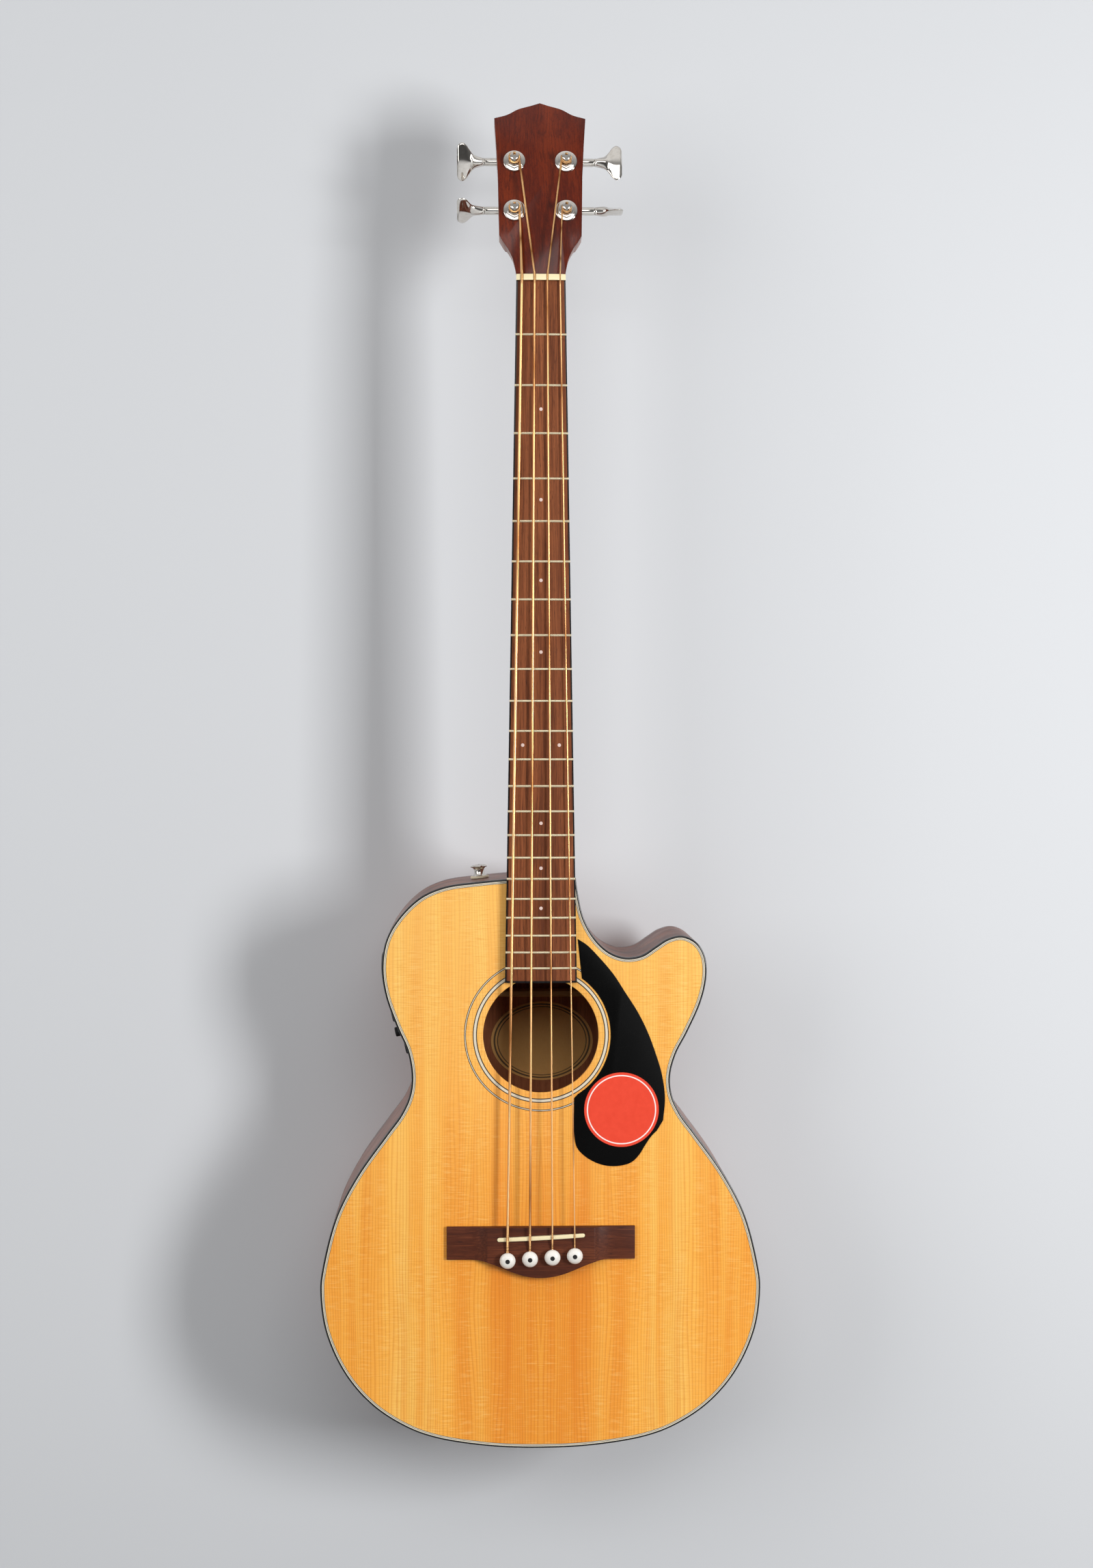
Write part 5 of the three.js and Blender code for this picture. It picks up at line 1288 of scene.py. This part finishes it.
def make_dots():
    round_dot = turned([(0, -0.02), (1.2, -0.02), (1.45, 0.0), (1.45, 1.2), (0, 1.2)], 32)
    spots = [(0, fret) for fret in DOT_FRETS] + [(-15.6, 12), (15.6, 12)]
    for i, (x, fret) in enumerate(spots):
        z = -(fret_drop(fret) + fret_drop(fret - 1)) / 2
        lean = Matrix.Rotation(math.atan(x / BOARD_RADIUS), 4, "Z")
        place = at(x, -BOARD_THICKNESS + crown(x), z) @ lean
        dot = copied(round_dot, place)
        finished(dot, f"board_dot_{i + 1}", dot_pearl)
    side_spots = [(0, fret) for fret in DOT_FRETS] + [(-5, 12), (5, 12)]
    for i, (shift, fret) in enumerate(side_spots):
        z = -(fret_drop(fret) + fret_drop(fret - 1)) / 2 + shift
        place = at(-board_half(z), -3.2, z) @ by(-90, "Z") @ Matrix.Scale(0.7, 4)
        dot = copied(round_dot, place)
        finished(dot, f"side_dot_{i + 1}", pin_white)
    bpy.data.objects.remove(round_dot)


def make_nut():
    half = NUT_WIDTH / 2
    rings = []
    for z, drop in ((0, 0.25), (0.25, 0), (4.2, 0.3), (5.1, 0.9), (NUT_LENGTH, 1.8)):
        crest = [half * (1 - i / 6) for i in range(13)]
        ring = [(half, 0, z)]
        ring += [(x, -NUT_HEIGHT + crown(x) + drop + (0.5 if abs(x) == half else 0), z)
                 for x in crest]
        ring.append((-half, 0, z))
        rings.append(ring)
    nut = skin(rings)
    for i, diameter in enumerate(DIAMETERS):
        x = string_x(i, SPREAD_AT_NUT)
        y = NUT_SEAT - diameter / 2 + crown(x)
        radius = diameter / 2 + 0.12
        slot = cylinder(radius, (x, y - 0.3, -3), (x, y + 0.6, 9), 24)
        cut(nut, slot)
    finished(nut, "nut_block", cream_bone, "nut")


# Bridge, saddle and pins


def bridge_line():
    """The bridge's outline: straight at the top and ends, bellied at the bottom."""
    bend = [
        (0, BRIDGE_BELLY), (0.31 * BRIDGE_HALF, BRIDGE_BELLY),
        (0.47 * BRIDGE_HALF, BRIDGE_WING), (0.71 * BRIDGE_HALF, BRIDGE_WING),
    ]
    right = []
    for k in range(21):
        t = k / 20
        weights = ((1 - t) ** 3, 3 * t * (1 - t) ** 2, 3 * t * t * (1 - t), t ** 3)
        right.append(sum((Vector(p) * w for p, w in zip(bend, weights)), Vector((0, 0))))
    right += [Vector((BRIDGE_HALF, BRIDGE_WING)), Vector((BRIDGE_HALF, BRIDGE_TOP))]
    return [Vector((-p.x, p.y)) for p in reversed(right[1:])] + right


def saddle_plan(half):
    """A long plan with round ends, from half its width."""
    return (
        arc_line((SADDLE_REACH, 0), half, range(-90, 91, 15))
        + arc_line((-SADDLE_REACH, 0), half, range(90, 271, 15))
    )


def make_bridge():
    bridge = plate(bridge_line(), -BRIDGE_THICKNESS, 0)
    shares = ((0, 0), (0.22, 0.5), (0.55, 0.86), (1, 1))
    slope = [(45.8 + a * 20, -BRIDGE_THICKNESS + d * 5.4) for a, d in shares]
    line = [*flowing(slope, 1.5), Vector((90, -3.2)), Vector((90, -20)), Vector((45.8, -20))]
    for side in (-1, 1):
        ends = (BRIDGE_BELLY - 5, BRIDGE_TOP + 5)
        cut(bridge, skin([[(side * x, y, z) for x, y in line] for z in ends]))
    eased(bridge, 0.9, 3, 25)
    slant = at(0, 0, SADDLE_Z) @ Matrix.Rotation(-SADDLE_SLANT, 4, "Y")
    cut(bridge, moved(plate(saddle_plan(2.0), -20, -2.9), slant), *pin_borings(-12, 3))
    mended(bridge)
    finished(bridge, "bridge_plate_front", bridge_rosewood, "bridge")

    crest = [(x, -11.3 + crown(x)) for x in (37.6 * (1 - i / 8) for i in range(17))]
    saddle = plate(saddle_plan(1.7), -14, -3.2)
    profile = [(37.8, -3.0), *[(x * 37.8 / 37.6, y) for x, y in crest], (-37.8, -3.0)]
    cut(saddle, skin([[(x, y, z) for x, y in profile] for z in (-5, 5)]), operation="INTERSECT")
    eased(saddle, 0.55, 3, 40)
    moved(saddle, slant)
    finished(saddle, "saddle_bone", cream_bone, "saddle")


def make_pins():
    face = PIN_FACE
    middle = face - 3.9
    ball = [(6.8 * math.cos(a), middle - 3.9 * math.sin(a))
            for a in (math.radians(90 - 10 * k) for k in range(16))]
    profile = [(0, face - 7.8), *ball[1:], (5.2, face - 0.4), (4.4, face), (3.2, face + 0.4),
               (3.0, face + 12), (2.8, face + 22.8), (1.6, face + 24), (0, face + 24)]
    pin = turned(profile, 48)
    flute = cylinder(1.95, (0, face - 1.6, 4.2), (0, face + 30, 3.25), 24)
    groove = box((-1.95, face - 1.6, 4.2), (1.95, face + 30, 9))
    cut(pin, flute, groove)
    rim = [(1.2, face - 7.8), (1.7, face - 7.76), (2.1, face - 7.55), (2.1, face - 6)]
    inlay = turned([(0, face - 7.8), *rim, (0, face - 6)], 32)
    for name, (x, z) in zip(STRINGS, pin_spots):
        place = at(x, 0, z)
        body = f"pin_{name}"
        finished(
            copied(pin, place), f"{body}_white", pin_white, f"bridge_pin_{name}", body=body
        )
        finished(copied(inlay, place), f"{body}_dot", pin_black, body=body)
    for piece in (pin, inlay):
        bpy.data.objects.remove(piece)


# Strings


def softened(path, reach):
    """Each corner of a path rounded off over a short length."""
    line = [path[0]]
    for before, corner, after in zip(path, path[1:], path[2:]):
        near = min(reach, (corner - before).length * 0.45)
        far = min(reach, (after - corner).length * 0.45)
        a = corner + (before - corner).normalized() * near
        b = corner + (after - corner).normalized() * far
        for k in range(7):
            t = k / 6
            line.append(a * (1 - t) ** 2 + corner * 2 * t * (1 - t) + b * t * t)
    line.append(path[-1])
    return line


def string_path(i):
    radius = DIAMETERS[i] / 2
    at_nut = string_x(i, SPREAD_AT_NUT)
    x, pin_z = pin_spots[i]
    ball = radius + 1.1
    over_nut = NUT_SEAT - radius + crown(at_nut)
    over_saddle = SADDLE_SEAT - radius + crown(x)
    slope = (over_nut - over_saddle) / -saddle_line(x)
    path = [
        Vector((x, 6.6 + ball, pin_z + 1.6 + ball)),
        Vector((x, 3.15, pin_z + STRING_SLOT)),
        Vector((x, -BRIDGE_THICKNESS + radius, pin_z + STRING_SLOT)),
        Vector((x, -BRIDGE_THICKNESS - radius / 2, pin_z + STRING_SLOT + radius)),
        Vector((x, over_saddle + radius / 4, saddle_line(x) - 1.7)),
        Vector((x, over_saddle + radius * slope, saddle_line(x) + 1.7)),
        Vector((at_nut, over_nut, 0)),
        Vector((at_nut, over_nut + radius / 4, 4.4)),
    ]
    side, row = POSTS[i]
    centre = Vector((side * POST_SPREAD / 2, POST_HEIGHTS[row]))
    loop = POST_WAIST + 0.3 + radius
    leaving = HEAD.inverted() @ path[-1]
    away = centre - Vector((leaving.x, leaving.z))
    heading = math.atan2(away.y, away.x) + side * math.asin(loop / away.length)
    start = heading + side * math.pi / 2
    steps = round(48 * TURNS[i])
    winding = []
    for k in range(steps + 1):
        turn = k / 48
        angle = start - side * math.tau * turn
        winding.append(HEAD @ Vector((
            centre.x + loop * math.cos(angle),
            POST_FOOT - radius - (DIAMETERS[i] + 0.45) * turn,
            centre.y + loop * math.sin(angle),
        )))
    return softened([*path, winding[0]], 3)[:-1] + winding


def make_strings():
    for i, name in enumerate(STRINGS):
        radius = DIAMETERS[i] / 2
        path = string_path(i)
        lengths = [0.0]
        for a, b in zip(path, path[1:]):
            lengths.append(lengths[-1] + (b - a).length)
        widths = []
        for place in path:
            wrap = place.z < saddle_line(place.x) - 5 and place.y < 0
            taper = name == "e" and place.z > 22
            widths.append(0.72 if taper else 1.12 if wrap else 1.0)
        string = drawn(path, False, radius, 3, widths)
        around = len(string.data.vertices) // len(path)
        along = string.data.attributes.new("along", "FLOAT", "POINT")
        for vert in string.data.vertices:
            along.data[vert.index].value = lengths[min(vert.index // around, len(path) - 1)] * MM
        outwards(string)
        bpy.ops.mesh.primitive_uv_sphere_add(
            segments=20, ring_count=12, radius=(radius + 1.1) * MM, location=path[0] * MM
        )
        whole = joined(string, settled(bpy.context.object))
        finished(whole, f"string_{name}_wound", wound[name], f"string_{name}", smooth=60)


# Tuning machines, each in its own frame: post along y, key out along +x


def tuner_bushing():
    ring = turned(
        [(4.2, 7.7), (5.2, 7.7), (5.2, -0.3), (9.6, -0.3), (9.6, -1.5), (9.35, -2.05),
         (8.9, -2.3), (5.3, -2.3), (5.3, -4.2), (5.0, -4.5), (4.2, -4.5)],
        64,
        closed=True,
    )
    hexagon = disc(7.5, 1.7, -3.05, 6)
    eased(hexagon, 0.25, 2, 30)
    cut(hexagon, cylinder(5.25, (0, -6, 0), (0, 2, 0), 48))
    return joined(ring, hexagon)


def tuner_post():
    foot, crest, waist = POST_FOOT, POST_CREST, POST_WAIST
    column = turned(
        [(0, crest - 0.9), (3.4, crest - 0.9), (3.8, crest - 0.7), (3.9, crest - 0.45),
         (3.9, crest - 0.15), (3.7, crest + 0.1), (3.05, crest + 0.7), (waist, crest + 1.4),
         (waist, foot - 0.4), (3.1, foot), (3.9, foot + 0.3),
         (3.9, GEAR_DEPTH - 1.8), (2.9, GEAR_DEPTH - 1.8), (2.9, GEAR_DEPTH + 2.7),
         (0, GEAR_DEPTH + 2.7)],
        48,
    )
    slot = box((-1.1, -20, -6), (1.1, -8.0, 6))
    cut(column, slot)
    wheel = disc(5.5, 3.6, GEAR_DEPTH, 64)
    with editing(wheel):
        pick(
            wheel,
            lambda spot, way: abs(way.y) < 0.5
            and round((math.degrees(math.atan2(way.z, way.x)) - 2.8125) / 5.625) % 4 < 2,
        )
        bpy.ops.mesh.extrude_region_shrink_fatten(
            TRANSFORM_OT_shrink_fatten={"value": 1.4 * MM, "use_even_offset": True}
        )
    return joined(column, wheel)


def tuner_key(turn):
    start = STEM_END + 0.9
    outline = flowing([(s * KEY_LENGTH, w * KEY_WIDTH) for s, w in KEY_SHARES], 1.2)
    spin = by(turn, "X")
    centre = at(0, GEAR_DEPTH, WORM_OFFSET)
    rings = []
    last = len(outline) - 1
    for k, (inward, reach) in enumerate(outline):
        x = start + KEY_LENGTH - inward
        tip = min(k, 3) / 3
        core = 3.3 * (0.62 + 0.38 * tip)
        edge = min(1.15, core) * (0.5 + 0.5 * tip)
        rounding = max(0, (k / last - 0.6) / 0.4)
        ring = []
        for step in range(TURN_STEPS):
            angle = math.tau * step / TURN_STEPS
            c, s = math.cos(angle), math.sin(angle)
            ridge = (core - edge) * (1 - abs(c)) ** 1.1 + edge
            flat = math.copysign(abs(s) ** 0.62, s) * ridge
            out = flat * (1 - rounding) + s * reach * rounding
            ring.append(tuple(centre @ spin @ Vector((x, out, reach * c))))
        rings.append(ring)
    paddle = skin(rings)
    eased(paddle, 0.5, 2, 50)
    shaft = cylinder(1.5, (-7.4, GEAR_DEPTH, WORM_OFFSET),
                     (start + 3, GEAR_DEPTH, WORM_OFFSET), 24)
    collar = turned([(0, 0), (3.1, 0), (3.6, 0.4), (3.6, 1.5), (3.1, 2.1), (0, 2.1)], 32)
    outward = by(-90, "Z")
    moved(collar, centre @ at(start - 0.75, 0, 0) @ outward)
    helix = []
    for k in range(3 * TURN_STEPS + 1):
        angle = math.tau * k / TURN_STEPS
        helix.append((
            -3.77 + WORM_PITCH * k / TURN_STEPS,
            GEAR_DEPTH + WORM_RADIUS * math.cos(angle),
            WORM_OFFSET + WORM_RADIUS * math.sin(angle),
        ))
    return joined(paddle, shaft, collar, drawn(helix, False, 0.55, 1))


def tuner_housing():
    front, back = HOUSING_FRONT, HEAD_THICKNESS + 9.5
    cup = cylinder(9.3, (0, front, 0), (0, back, 0), 64)
    cheek = box((-7.55, front, 0), (7.55, back, 14.1))
    cut(cup, cheek, operation="UNION")
    eased(cup, 1.1, 3, 40)
    ear = cylinder(3.65, (0, front + 0.03, EAR_Z), (0, front + 1.8, EAR_Z), 40)
    eased(ear, 0.4)
    stem = cylinder(3.5, (4, GEAR_DEPTH, WORM_OFFSET),
                    (STEM_END, GEAR_DEPTH, WORM_OFFSET), 40)
    eased(stem, 0.5, 2)
    cut(cup, ear, operation="UNION")
    cut(cup, stem, operation="UNION")
    cut(
        cup,
        cylinder(7.5, (0, front - 5, 0), (0, back - 1.8, 0), 48),
        box((-5.75, front - 5, 0), (5.75, GEAR_DEPTH + 3.5, 12.3)),
        cylinder(1.8, (-6.7, GEAR_DEPTH, WORM_OFFSET),
                 (STEM_END + 5, GEAR_DEPTH, WORM_OFFSET), 24),
    )
    screw = turned(
        [(0, 3.0), (0.9, 2.95), (1.7, 2.6), (2.1, 1.9), (2.1, 1.8), (1.2, 1.7), (1.2, -6), (0, -7)],
        32,
    )
    crossed(screw, 0.25, 1.4, 2.2, 5)
    moved(screw, at(0, front, EAR_Z))
    return joined(cup, screw)


def make_tuners():
    bushing, post, housing = tuner_bushing(), tuner_post(), tuner_housing()
    for i, name in enumerate(STRINGS):
        side, row = POSTS[i]
        place = HEAD @ at(side * POST_SPREAD / 2, 0, POST_HEIGHTS[row])
        if side < 0:
            place = place @ Matrix.Scale(-1, 4, (1, 0, 0))
        for piece, word, node, body in (
            (bushing, "washer", "tuner_bushing", "instrument"),
            (post, "post", "tuner_post", f"post_{name}"),
            (housing, "housing", "tuner_housing", "instrument"),
        ):
            twin = copied(piece, place)
            finished(twin, f"tuner_{name}_{word}", chrome, f"{node}_{name}", body=body)
        key = moved(tuner_key(KEY_TURNS[i]), place)
        finished(
            key, f"tuner_{name}_key", chrome, f"tuner_key_{name}", body=f"key_{name}", smooth=40
        )
    for piece in (bushing, post, housing):
        bpy.data.objects.remove(piece)


# Preamp, strap button and end-pin jack


UPRIGHT = by(90, "X")


def side_lines():
    """The bass side as seen in the panel's own frame: place along it, height of the wood."""
    into = PREAMP.inverted()
    spots = [into @ Vector((x, PREAMP[1][3], z)) for x, z in body_line[:tail_index]]
    return [(spot.x, spot.z) for spot in spots if -80 < spot.x < 80]


SIDE_LINE = side_lines()


def wood_height(along):
    """How high the side stands under a place on the panel."""
    for (xa, za), (xb, zb) in zip(SIDE_LINE, SIDE_LINE[1:]):
        if xa <= along <= xb:
            return za + (zb - za) * (along - xa) / (xb - xa)
    return SIDE_LINE[-1][1]


def panel_bar(stations, low, high):
    """A bar along the panel that follows the side, from pairs of place and half width."""
    rings = []
    for along, half in stations:
        foot = low if low < -8 else wood_height(along) + low
        top = wood_height(along) + high
        ease = min(0.7, (top - foot) / 2)
        corner = ease * 0.3
        rings.append([
            (along, -half, foot), (along, -half, top - ease), (along, -half + corner, top - corner),
            (along, -half + ease, top), (along, half - ease, top),
            (along, half - corner, top - corner), (along, half, top - ease), (along, half, foot),
        ])
    return skin(rings)


def level(half, *places):
    """Stations of one half width."""
    return [(place, half) for place in places]


def make_preamp():
    ends = [(48, 18.5), (47.6, 20), (46.8, 21.4), (45.6, 22.4), (44, 23)]
    first = [(-x, half) for x, half in ends]
    stations = first + level(23, *range(-40, 41, 4)) + ends[::-1]
    panel = panel_bar(stations, 0.06, 1.7)
    inner = level(17, -43.9, *range(-36, 37, 8), 43.9)
    unit = panel_bar(inner, -30, 0.9)
    sleeve = box((-42.9, -10.5, -49), (-13.1, 10.5, -10))
    cut(panel, unit, operation="UNION")
    cut(panel, sleeve, operation="UNION")
    bores = [cylinder(2.0, (x, 0, -15), (x, 0, 9), 24) for x, *_ in KNOBS]
    bores.append(cylinder(3.5, (BUTTON_X, 0, -8), (BUTTON_X, 0, 9), 32))
    recess = level(10.3, -43.4, *range(-40, -15, 4), -12.6)
    bores.append(panel_bar(recess, 0.2, 6))
    bores.append(box((-41.5, -9, -47.5), (-14.5, 9, 9)))
    cut(panel, *bores)
    moved(panel, PREAMP)
    finished(panel, "preamp_panel_front", black_moulded, "preamp_panel")

    for knob in KNOBS:
        make_knob(*knob)
    low = wood_height(BUTTON_X)
    button = turned(
        [(0, low + 2.6), (2.4, low + 2.7), (3.0, low + 2.5), (3.2, low + 2.2), (3.2, -6), (0, -6)],
        40,
    )
    moved(button, PREAMP @ at(BUTTON_X, 0, 0) @ UPRIGHT)
    finished(
        button, "preamp_tuner_push", black_moulded, "preamp_tuner_button", body="tuner_button"
    )
    middle = level(10, -42.6, *range(-40, -15, 4), -13.4)
    leaf = [(-43, 9.5), *middle, (-13, 9.5)]
    door = panel_bar(leaf, 0.5, 2.1)
    grip = panel_bar([(-16.4, 4.6), (-16, 5), (-14.6, 5), (-14.2, 4.6)], 1.2, 2.9)
    cut(door, grip, operation="UNION")
    moved(door, PREAMP)
    finished(door, "battery_door_leaf", black_moulded, "battery_door", body="door")


def make_knob(x, name, radius, rise):
    """A ribbed control knob with a pointer, on a panel marked with a ring of ticks."""
    foot = wood_height(x) + 1.9
    top = foot + rise
    knob = turned(
        [(0, top - 0.3), (radius * 0.72, top - 0.3), (radius * 0.82, top),
         (radius * 0.92, top - 0.1), (radius, top - 0.6), (radius, foot), (1.6, foot),
         (1.6, -12), (0, -12)],
        60,
    )
    with editing(knob):
        pick(
            knob,
            lambda spot, way: math.hypot(way.x, way.z) > 0.95
            and math.hypot(spot.x, spot.z) > radius - 0.2
            and round(math.degrees(math.atan2(way.z, way.x)) / 6 + 0.5) % 2 == 0,
        )
        bpy.ops.mesh.inset(thickness=0.06 * MM, use_individual=True, depth=-0.25 * MM)
    cut(knob, box((-0.4, top - 0.7, radius * 0.3), (0.4, top + 4, radius * 2)))
    moved(knob, PREAMP @ at(x, 0, 0) @ UPRIGHT)
    finished(
        knob, f"preamp_{name}_knob", black_moulded, f"preamp_knob_{name}", body=f"knob_{name}"
    )
    for k in range(11):
        angle = math.radians(-150 + 30 * k)
        along, across = x - 7.5 * math.sin(angle), 7.5 * math.cos(angle)
        slope = math.atan2(wood_height(along + 1) - wood_height(along - 1), 2)
        spot = PREAMP @ at(along, across, wood_height(along) + 1.72)
        tick = box((-0.25, -0.6, 0), (0.25, 0.6, 0.08))
        eased(tick, 0.02)
        turn = Matrix.Rotation(-slope, 4, "Y") @ Matrix.Rotation(angle, 4, "Z")
        moved(tick, spot @ turn)
        finished(tick, f"preamp_{name}_tick_{k + 1:02d}", printed_white)


def make_strap_button():
    out = Vector((-0.09278, 0, 0.99569))
    turn = out.to_track_quat("Y", "Z").to_matrix().to_4x4()
    place = at(-52, 52, -511.147) @ turn
    cap = turned(
        [(0, 12.3), (3, 12.25), (5.6, 11.9), (7.0, 11.2), (7.4, 10.5), (7.2, 9.9), (5.6, 9.4),
         (4.6, 8.2), (4.4, 6.5), (4.7, 4.4), (5.6, 2.9), (6.3, 2.3), (0, 2.3)],
        56,
    )
    crossed(cap, 0.5, 2.6, 11.2, 14)
    moved(cap, place)
    finished(cap, "strap_button_cap", chrome, "strap_button")
    washer = turned(
        [(1, 0.3), (7.7, 0.3), (8.0, 0.7), (8.0, 1.9), (7.7, 2.3), (1, 2.3)], 56,
        closed=True,
    )
    moved(washer, place)
    finished(washer, "strap_button_washer", felt_cream)


def make_jack():
    barrel = turned(
        [(3.3, -30), (6.2, -30), (6.2, 0.3), (8.7, 0.3), (9.0, 0.6), (9.0, 2.0), (8.6, 2.4),
         (6.2, 3.2), (6.0, 4), (6.0, 9.6), (6.4, 10.6), (7.2, 11.6), (7.4, 12.2), (7.1, 13),
         (4.0, 13), (3.3, 12.3)],
        56,
        closed=True,
    )
    contact = turned([(0, -32), (6.2, -32), (6.2, -29.9), (0, -29.9)], 40)
    whole = joined(barrel, contact)
    place = at(0, JACK_DEPTH, BODY_TAIL)
    moved(whole, place @ by(-90, "X"))
    finished(whole, "endpin_socket", chrome, "endpin_jack")


for make in (
    make_top, make_bindings, make_sides, make_back, make_label, make_rosette, make_guard,
    make_neck, make_heel_cap, make_fingerboard, make_nut, make_bridge, make_pins, make_strings,
    make_tuners, make_preamp, make_strap_button, make_jack,
):
    make()

dressed(block_wood, "neck_block", "tail_block")
dressed(
    brace_wood, "x_brace_bass", "x_brace_treble", "transverse_brace", "tone_bar_upper",
    "tone_bar_lower", "back_brace_1", "back_brace_2", "back_brace_3", "back_brace_4",
)
dressed(bridge_rosewood, "bridge_plate")
dressed(steel, "truss_rod", "truss_rod_nut")


# Wall, floor, lamps and camera


def stage_paint(name, colour):
    """A pale paint that the camera and reflections see, and that holds back no light."""
    material = bpy.data.materials.new(name)
    material.use_nodes = True
    tree = material.node_tree
    tree.nodes.clear()
    rays = add(tree, "ShaderNodeLightPath").outputs
    facing = add(tree, "ShaderNodeNewGeometry").outputs["Backfacing"]
    seen = sums(tree, "MAXIMUM", rays["Is Camera Ray"], rays["Is Glossy Ray"])
    seen = sums(tree, "MAXIMUM", seen, rays["Is Transmission Ray"])
    seen = times(tree, seen, sums(tree, "SUBTRACT", 1.0, facing))
    paint = add(tree, "ShaderNodeBsdfDiffuse", {"Color": colour}).outputs[0]
    clear = add(tree, "ShaderNodeBsdfTransparent").outputs[0]
    mix = add(tree, "ShaderNodeMixShader", {0: seen, 1: clear, 2: paint}).outputs[0]
    add(tree, "ShaderNodeOutputMaterial", {0: mix})
    return material


def make_stage():
    bpy.ops.mesh.primitive_plane_add(
        size=6, location=(0, 0.16, -0.3), rotation=(math.radians(90), 0, 0)
    )
    wall = settled(bpy.context.object)
    wall.name = "wall"
    coated(wall, stage_paint("pale_wall", rgb(214, 216, 219)))
    bpy.ops.mesh.primitive_plane_add(size=8, location=(0, 0, -1.2))
    floor = settled(bpy.context.object)
    floor.name = "floor"
    coated(floor, stage_paint("pale_floor", rgb(212, 214, 216)))


def lamp(name, place, target, power, width, height):
    data = bpy.data.lights.new(name, "AREA")
    data.shape = "RECTANGLE"
    data.energy = power
    data.size = width
    data.size_y = height
    item = bpy.data.objects.new(name, data)
    bpy.context.scene.collection.objects.link(item)
    item.location = place
    item.rotation_euler = (Vector(target) - Vector(place)).to_track_quat("-Z", "Y").to_euler()


def make_light():
    middle = (0, 0, -0.45)
    lamp("key_lamp", (1.6, -1.75, -0.3), middle, 44, 0.5, 0.9)
    lamp("fill_lamp", (-2.0, -1.7, 0.1), middle, 24, 1.4, 1.8)
    lamp("front_lamp", (0, -2.9, 0.9), middle, 22, 2.2, 1.2)
    lamp("rear_lamp_left", (-1.6, 1.9, 0.3), middle, 32, 1.2, 1.6)
    lamp("rear_lamp_right", (1.7, 1.9, 0.0), middle, 32, 1.2, 1.6)

    world = bpy.data.worlds.new("studio")
    bpy.context.scene.world = world
    world.use_nodes = True
    tree = world.node_tree
    tree.nodes.clear()
    rays = add(tree, "ShaderNodeLightPath").outputs
    way = add(tree, "ShaderNodeTexCoord").outputs["Generated"]
    height = add(tree, "ShaderNodeSeparateXYZ", {0: way}).outputs[2]
    sky = graded(tree, plus(tree, times(tree, height, 0.5), 0.5),
                 (0.0, 0.2), (0.3, 0.18), (0.45, 0.08), (0.58, 0.14), (0.8, 0.45), (0.95, 1.0))
    seen = sums(tree, "MAXIMUM", rays["Is Camera Ray"], rays["Is Transmission Ray"])
    shown = add(tree, "ShaderNodeBackground", {"Color": (0.9, 0.895, 0.88, 1), "Strength": 1.0})
    strength = sums(tree, "ADD", 0.6, sums(tree, "MULTIPLY", rays["Is Glossy Ray"], 0.3))
    lit = add(tree, "ShaderNodeBackground", {"Color": sky, "Strength": strength})
    mix = add(tree, "ShaderNodeMixShader", {0: seen, 1: lit.outputs[0], 2: shown.outputs[0]})
    add(tree, "ShaderNodeOutputWorld", {0: mix.outputs[0]})


def make_camera():
    pitch, yaw = 0.0192685, 0.0299278
    ahead = Vector((
        math.cos(pitch) * math.sin(yaw), math.cos(pitch) * math.cos(yaw), -math.sin(pitch)
    ))
    right = Vector((math.cos(yaw), -math.sin(yaw), 0))
    up = right.cross(ahead)
    data = bpy.data.cameras.new("camera")
    data.sensor_width = 36
    data.lens = 53.75
    data.clip_start = 0.05
    camera = bpy.data.objects.new("camera", data)
    bpy.context.scene.collection.objects.link(camera)
    turn = Matrix((right, up, -ahead)).transposed().to_4x4()
    camera.matrix_world = at(-0.055, -2.0, -0.38899) @ turn
    bpy.context.scene.camera = camera


make_stage()
make_light()
make_camera()
bpy.context.scene.view_settings.view_transform = "Standard"
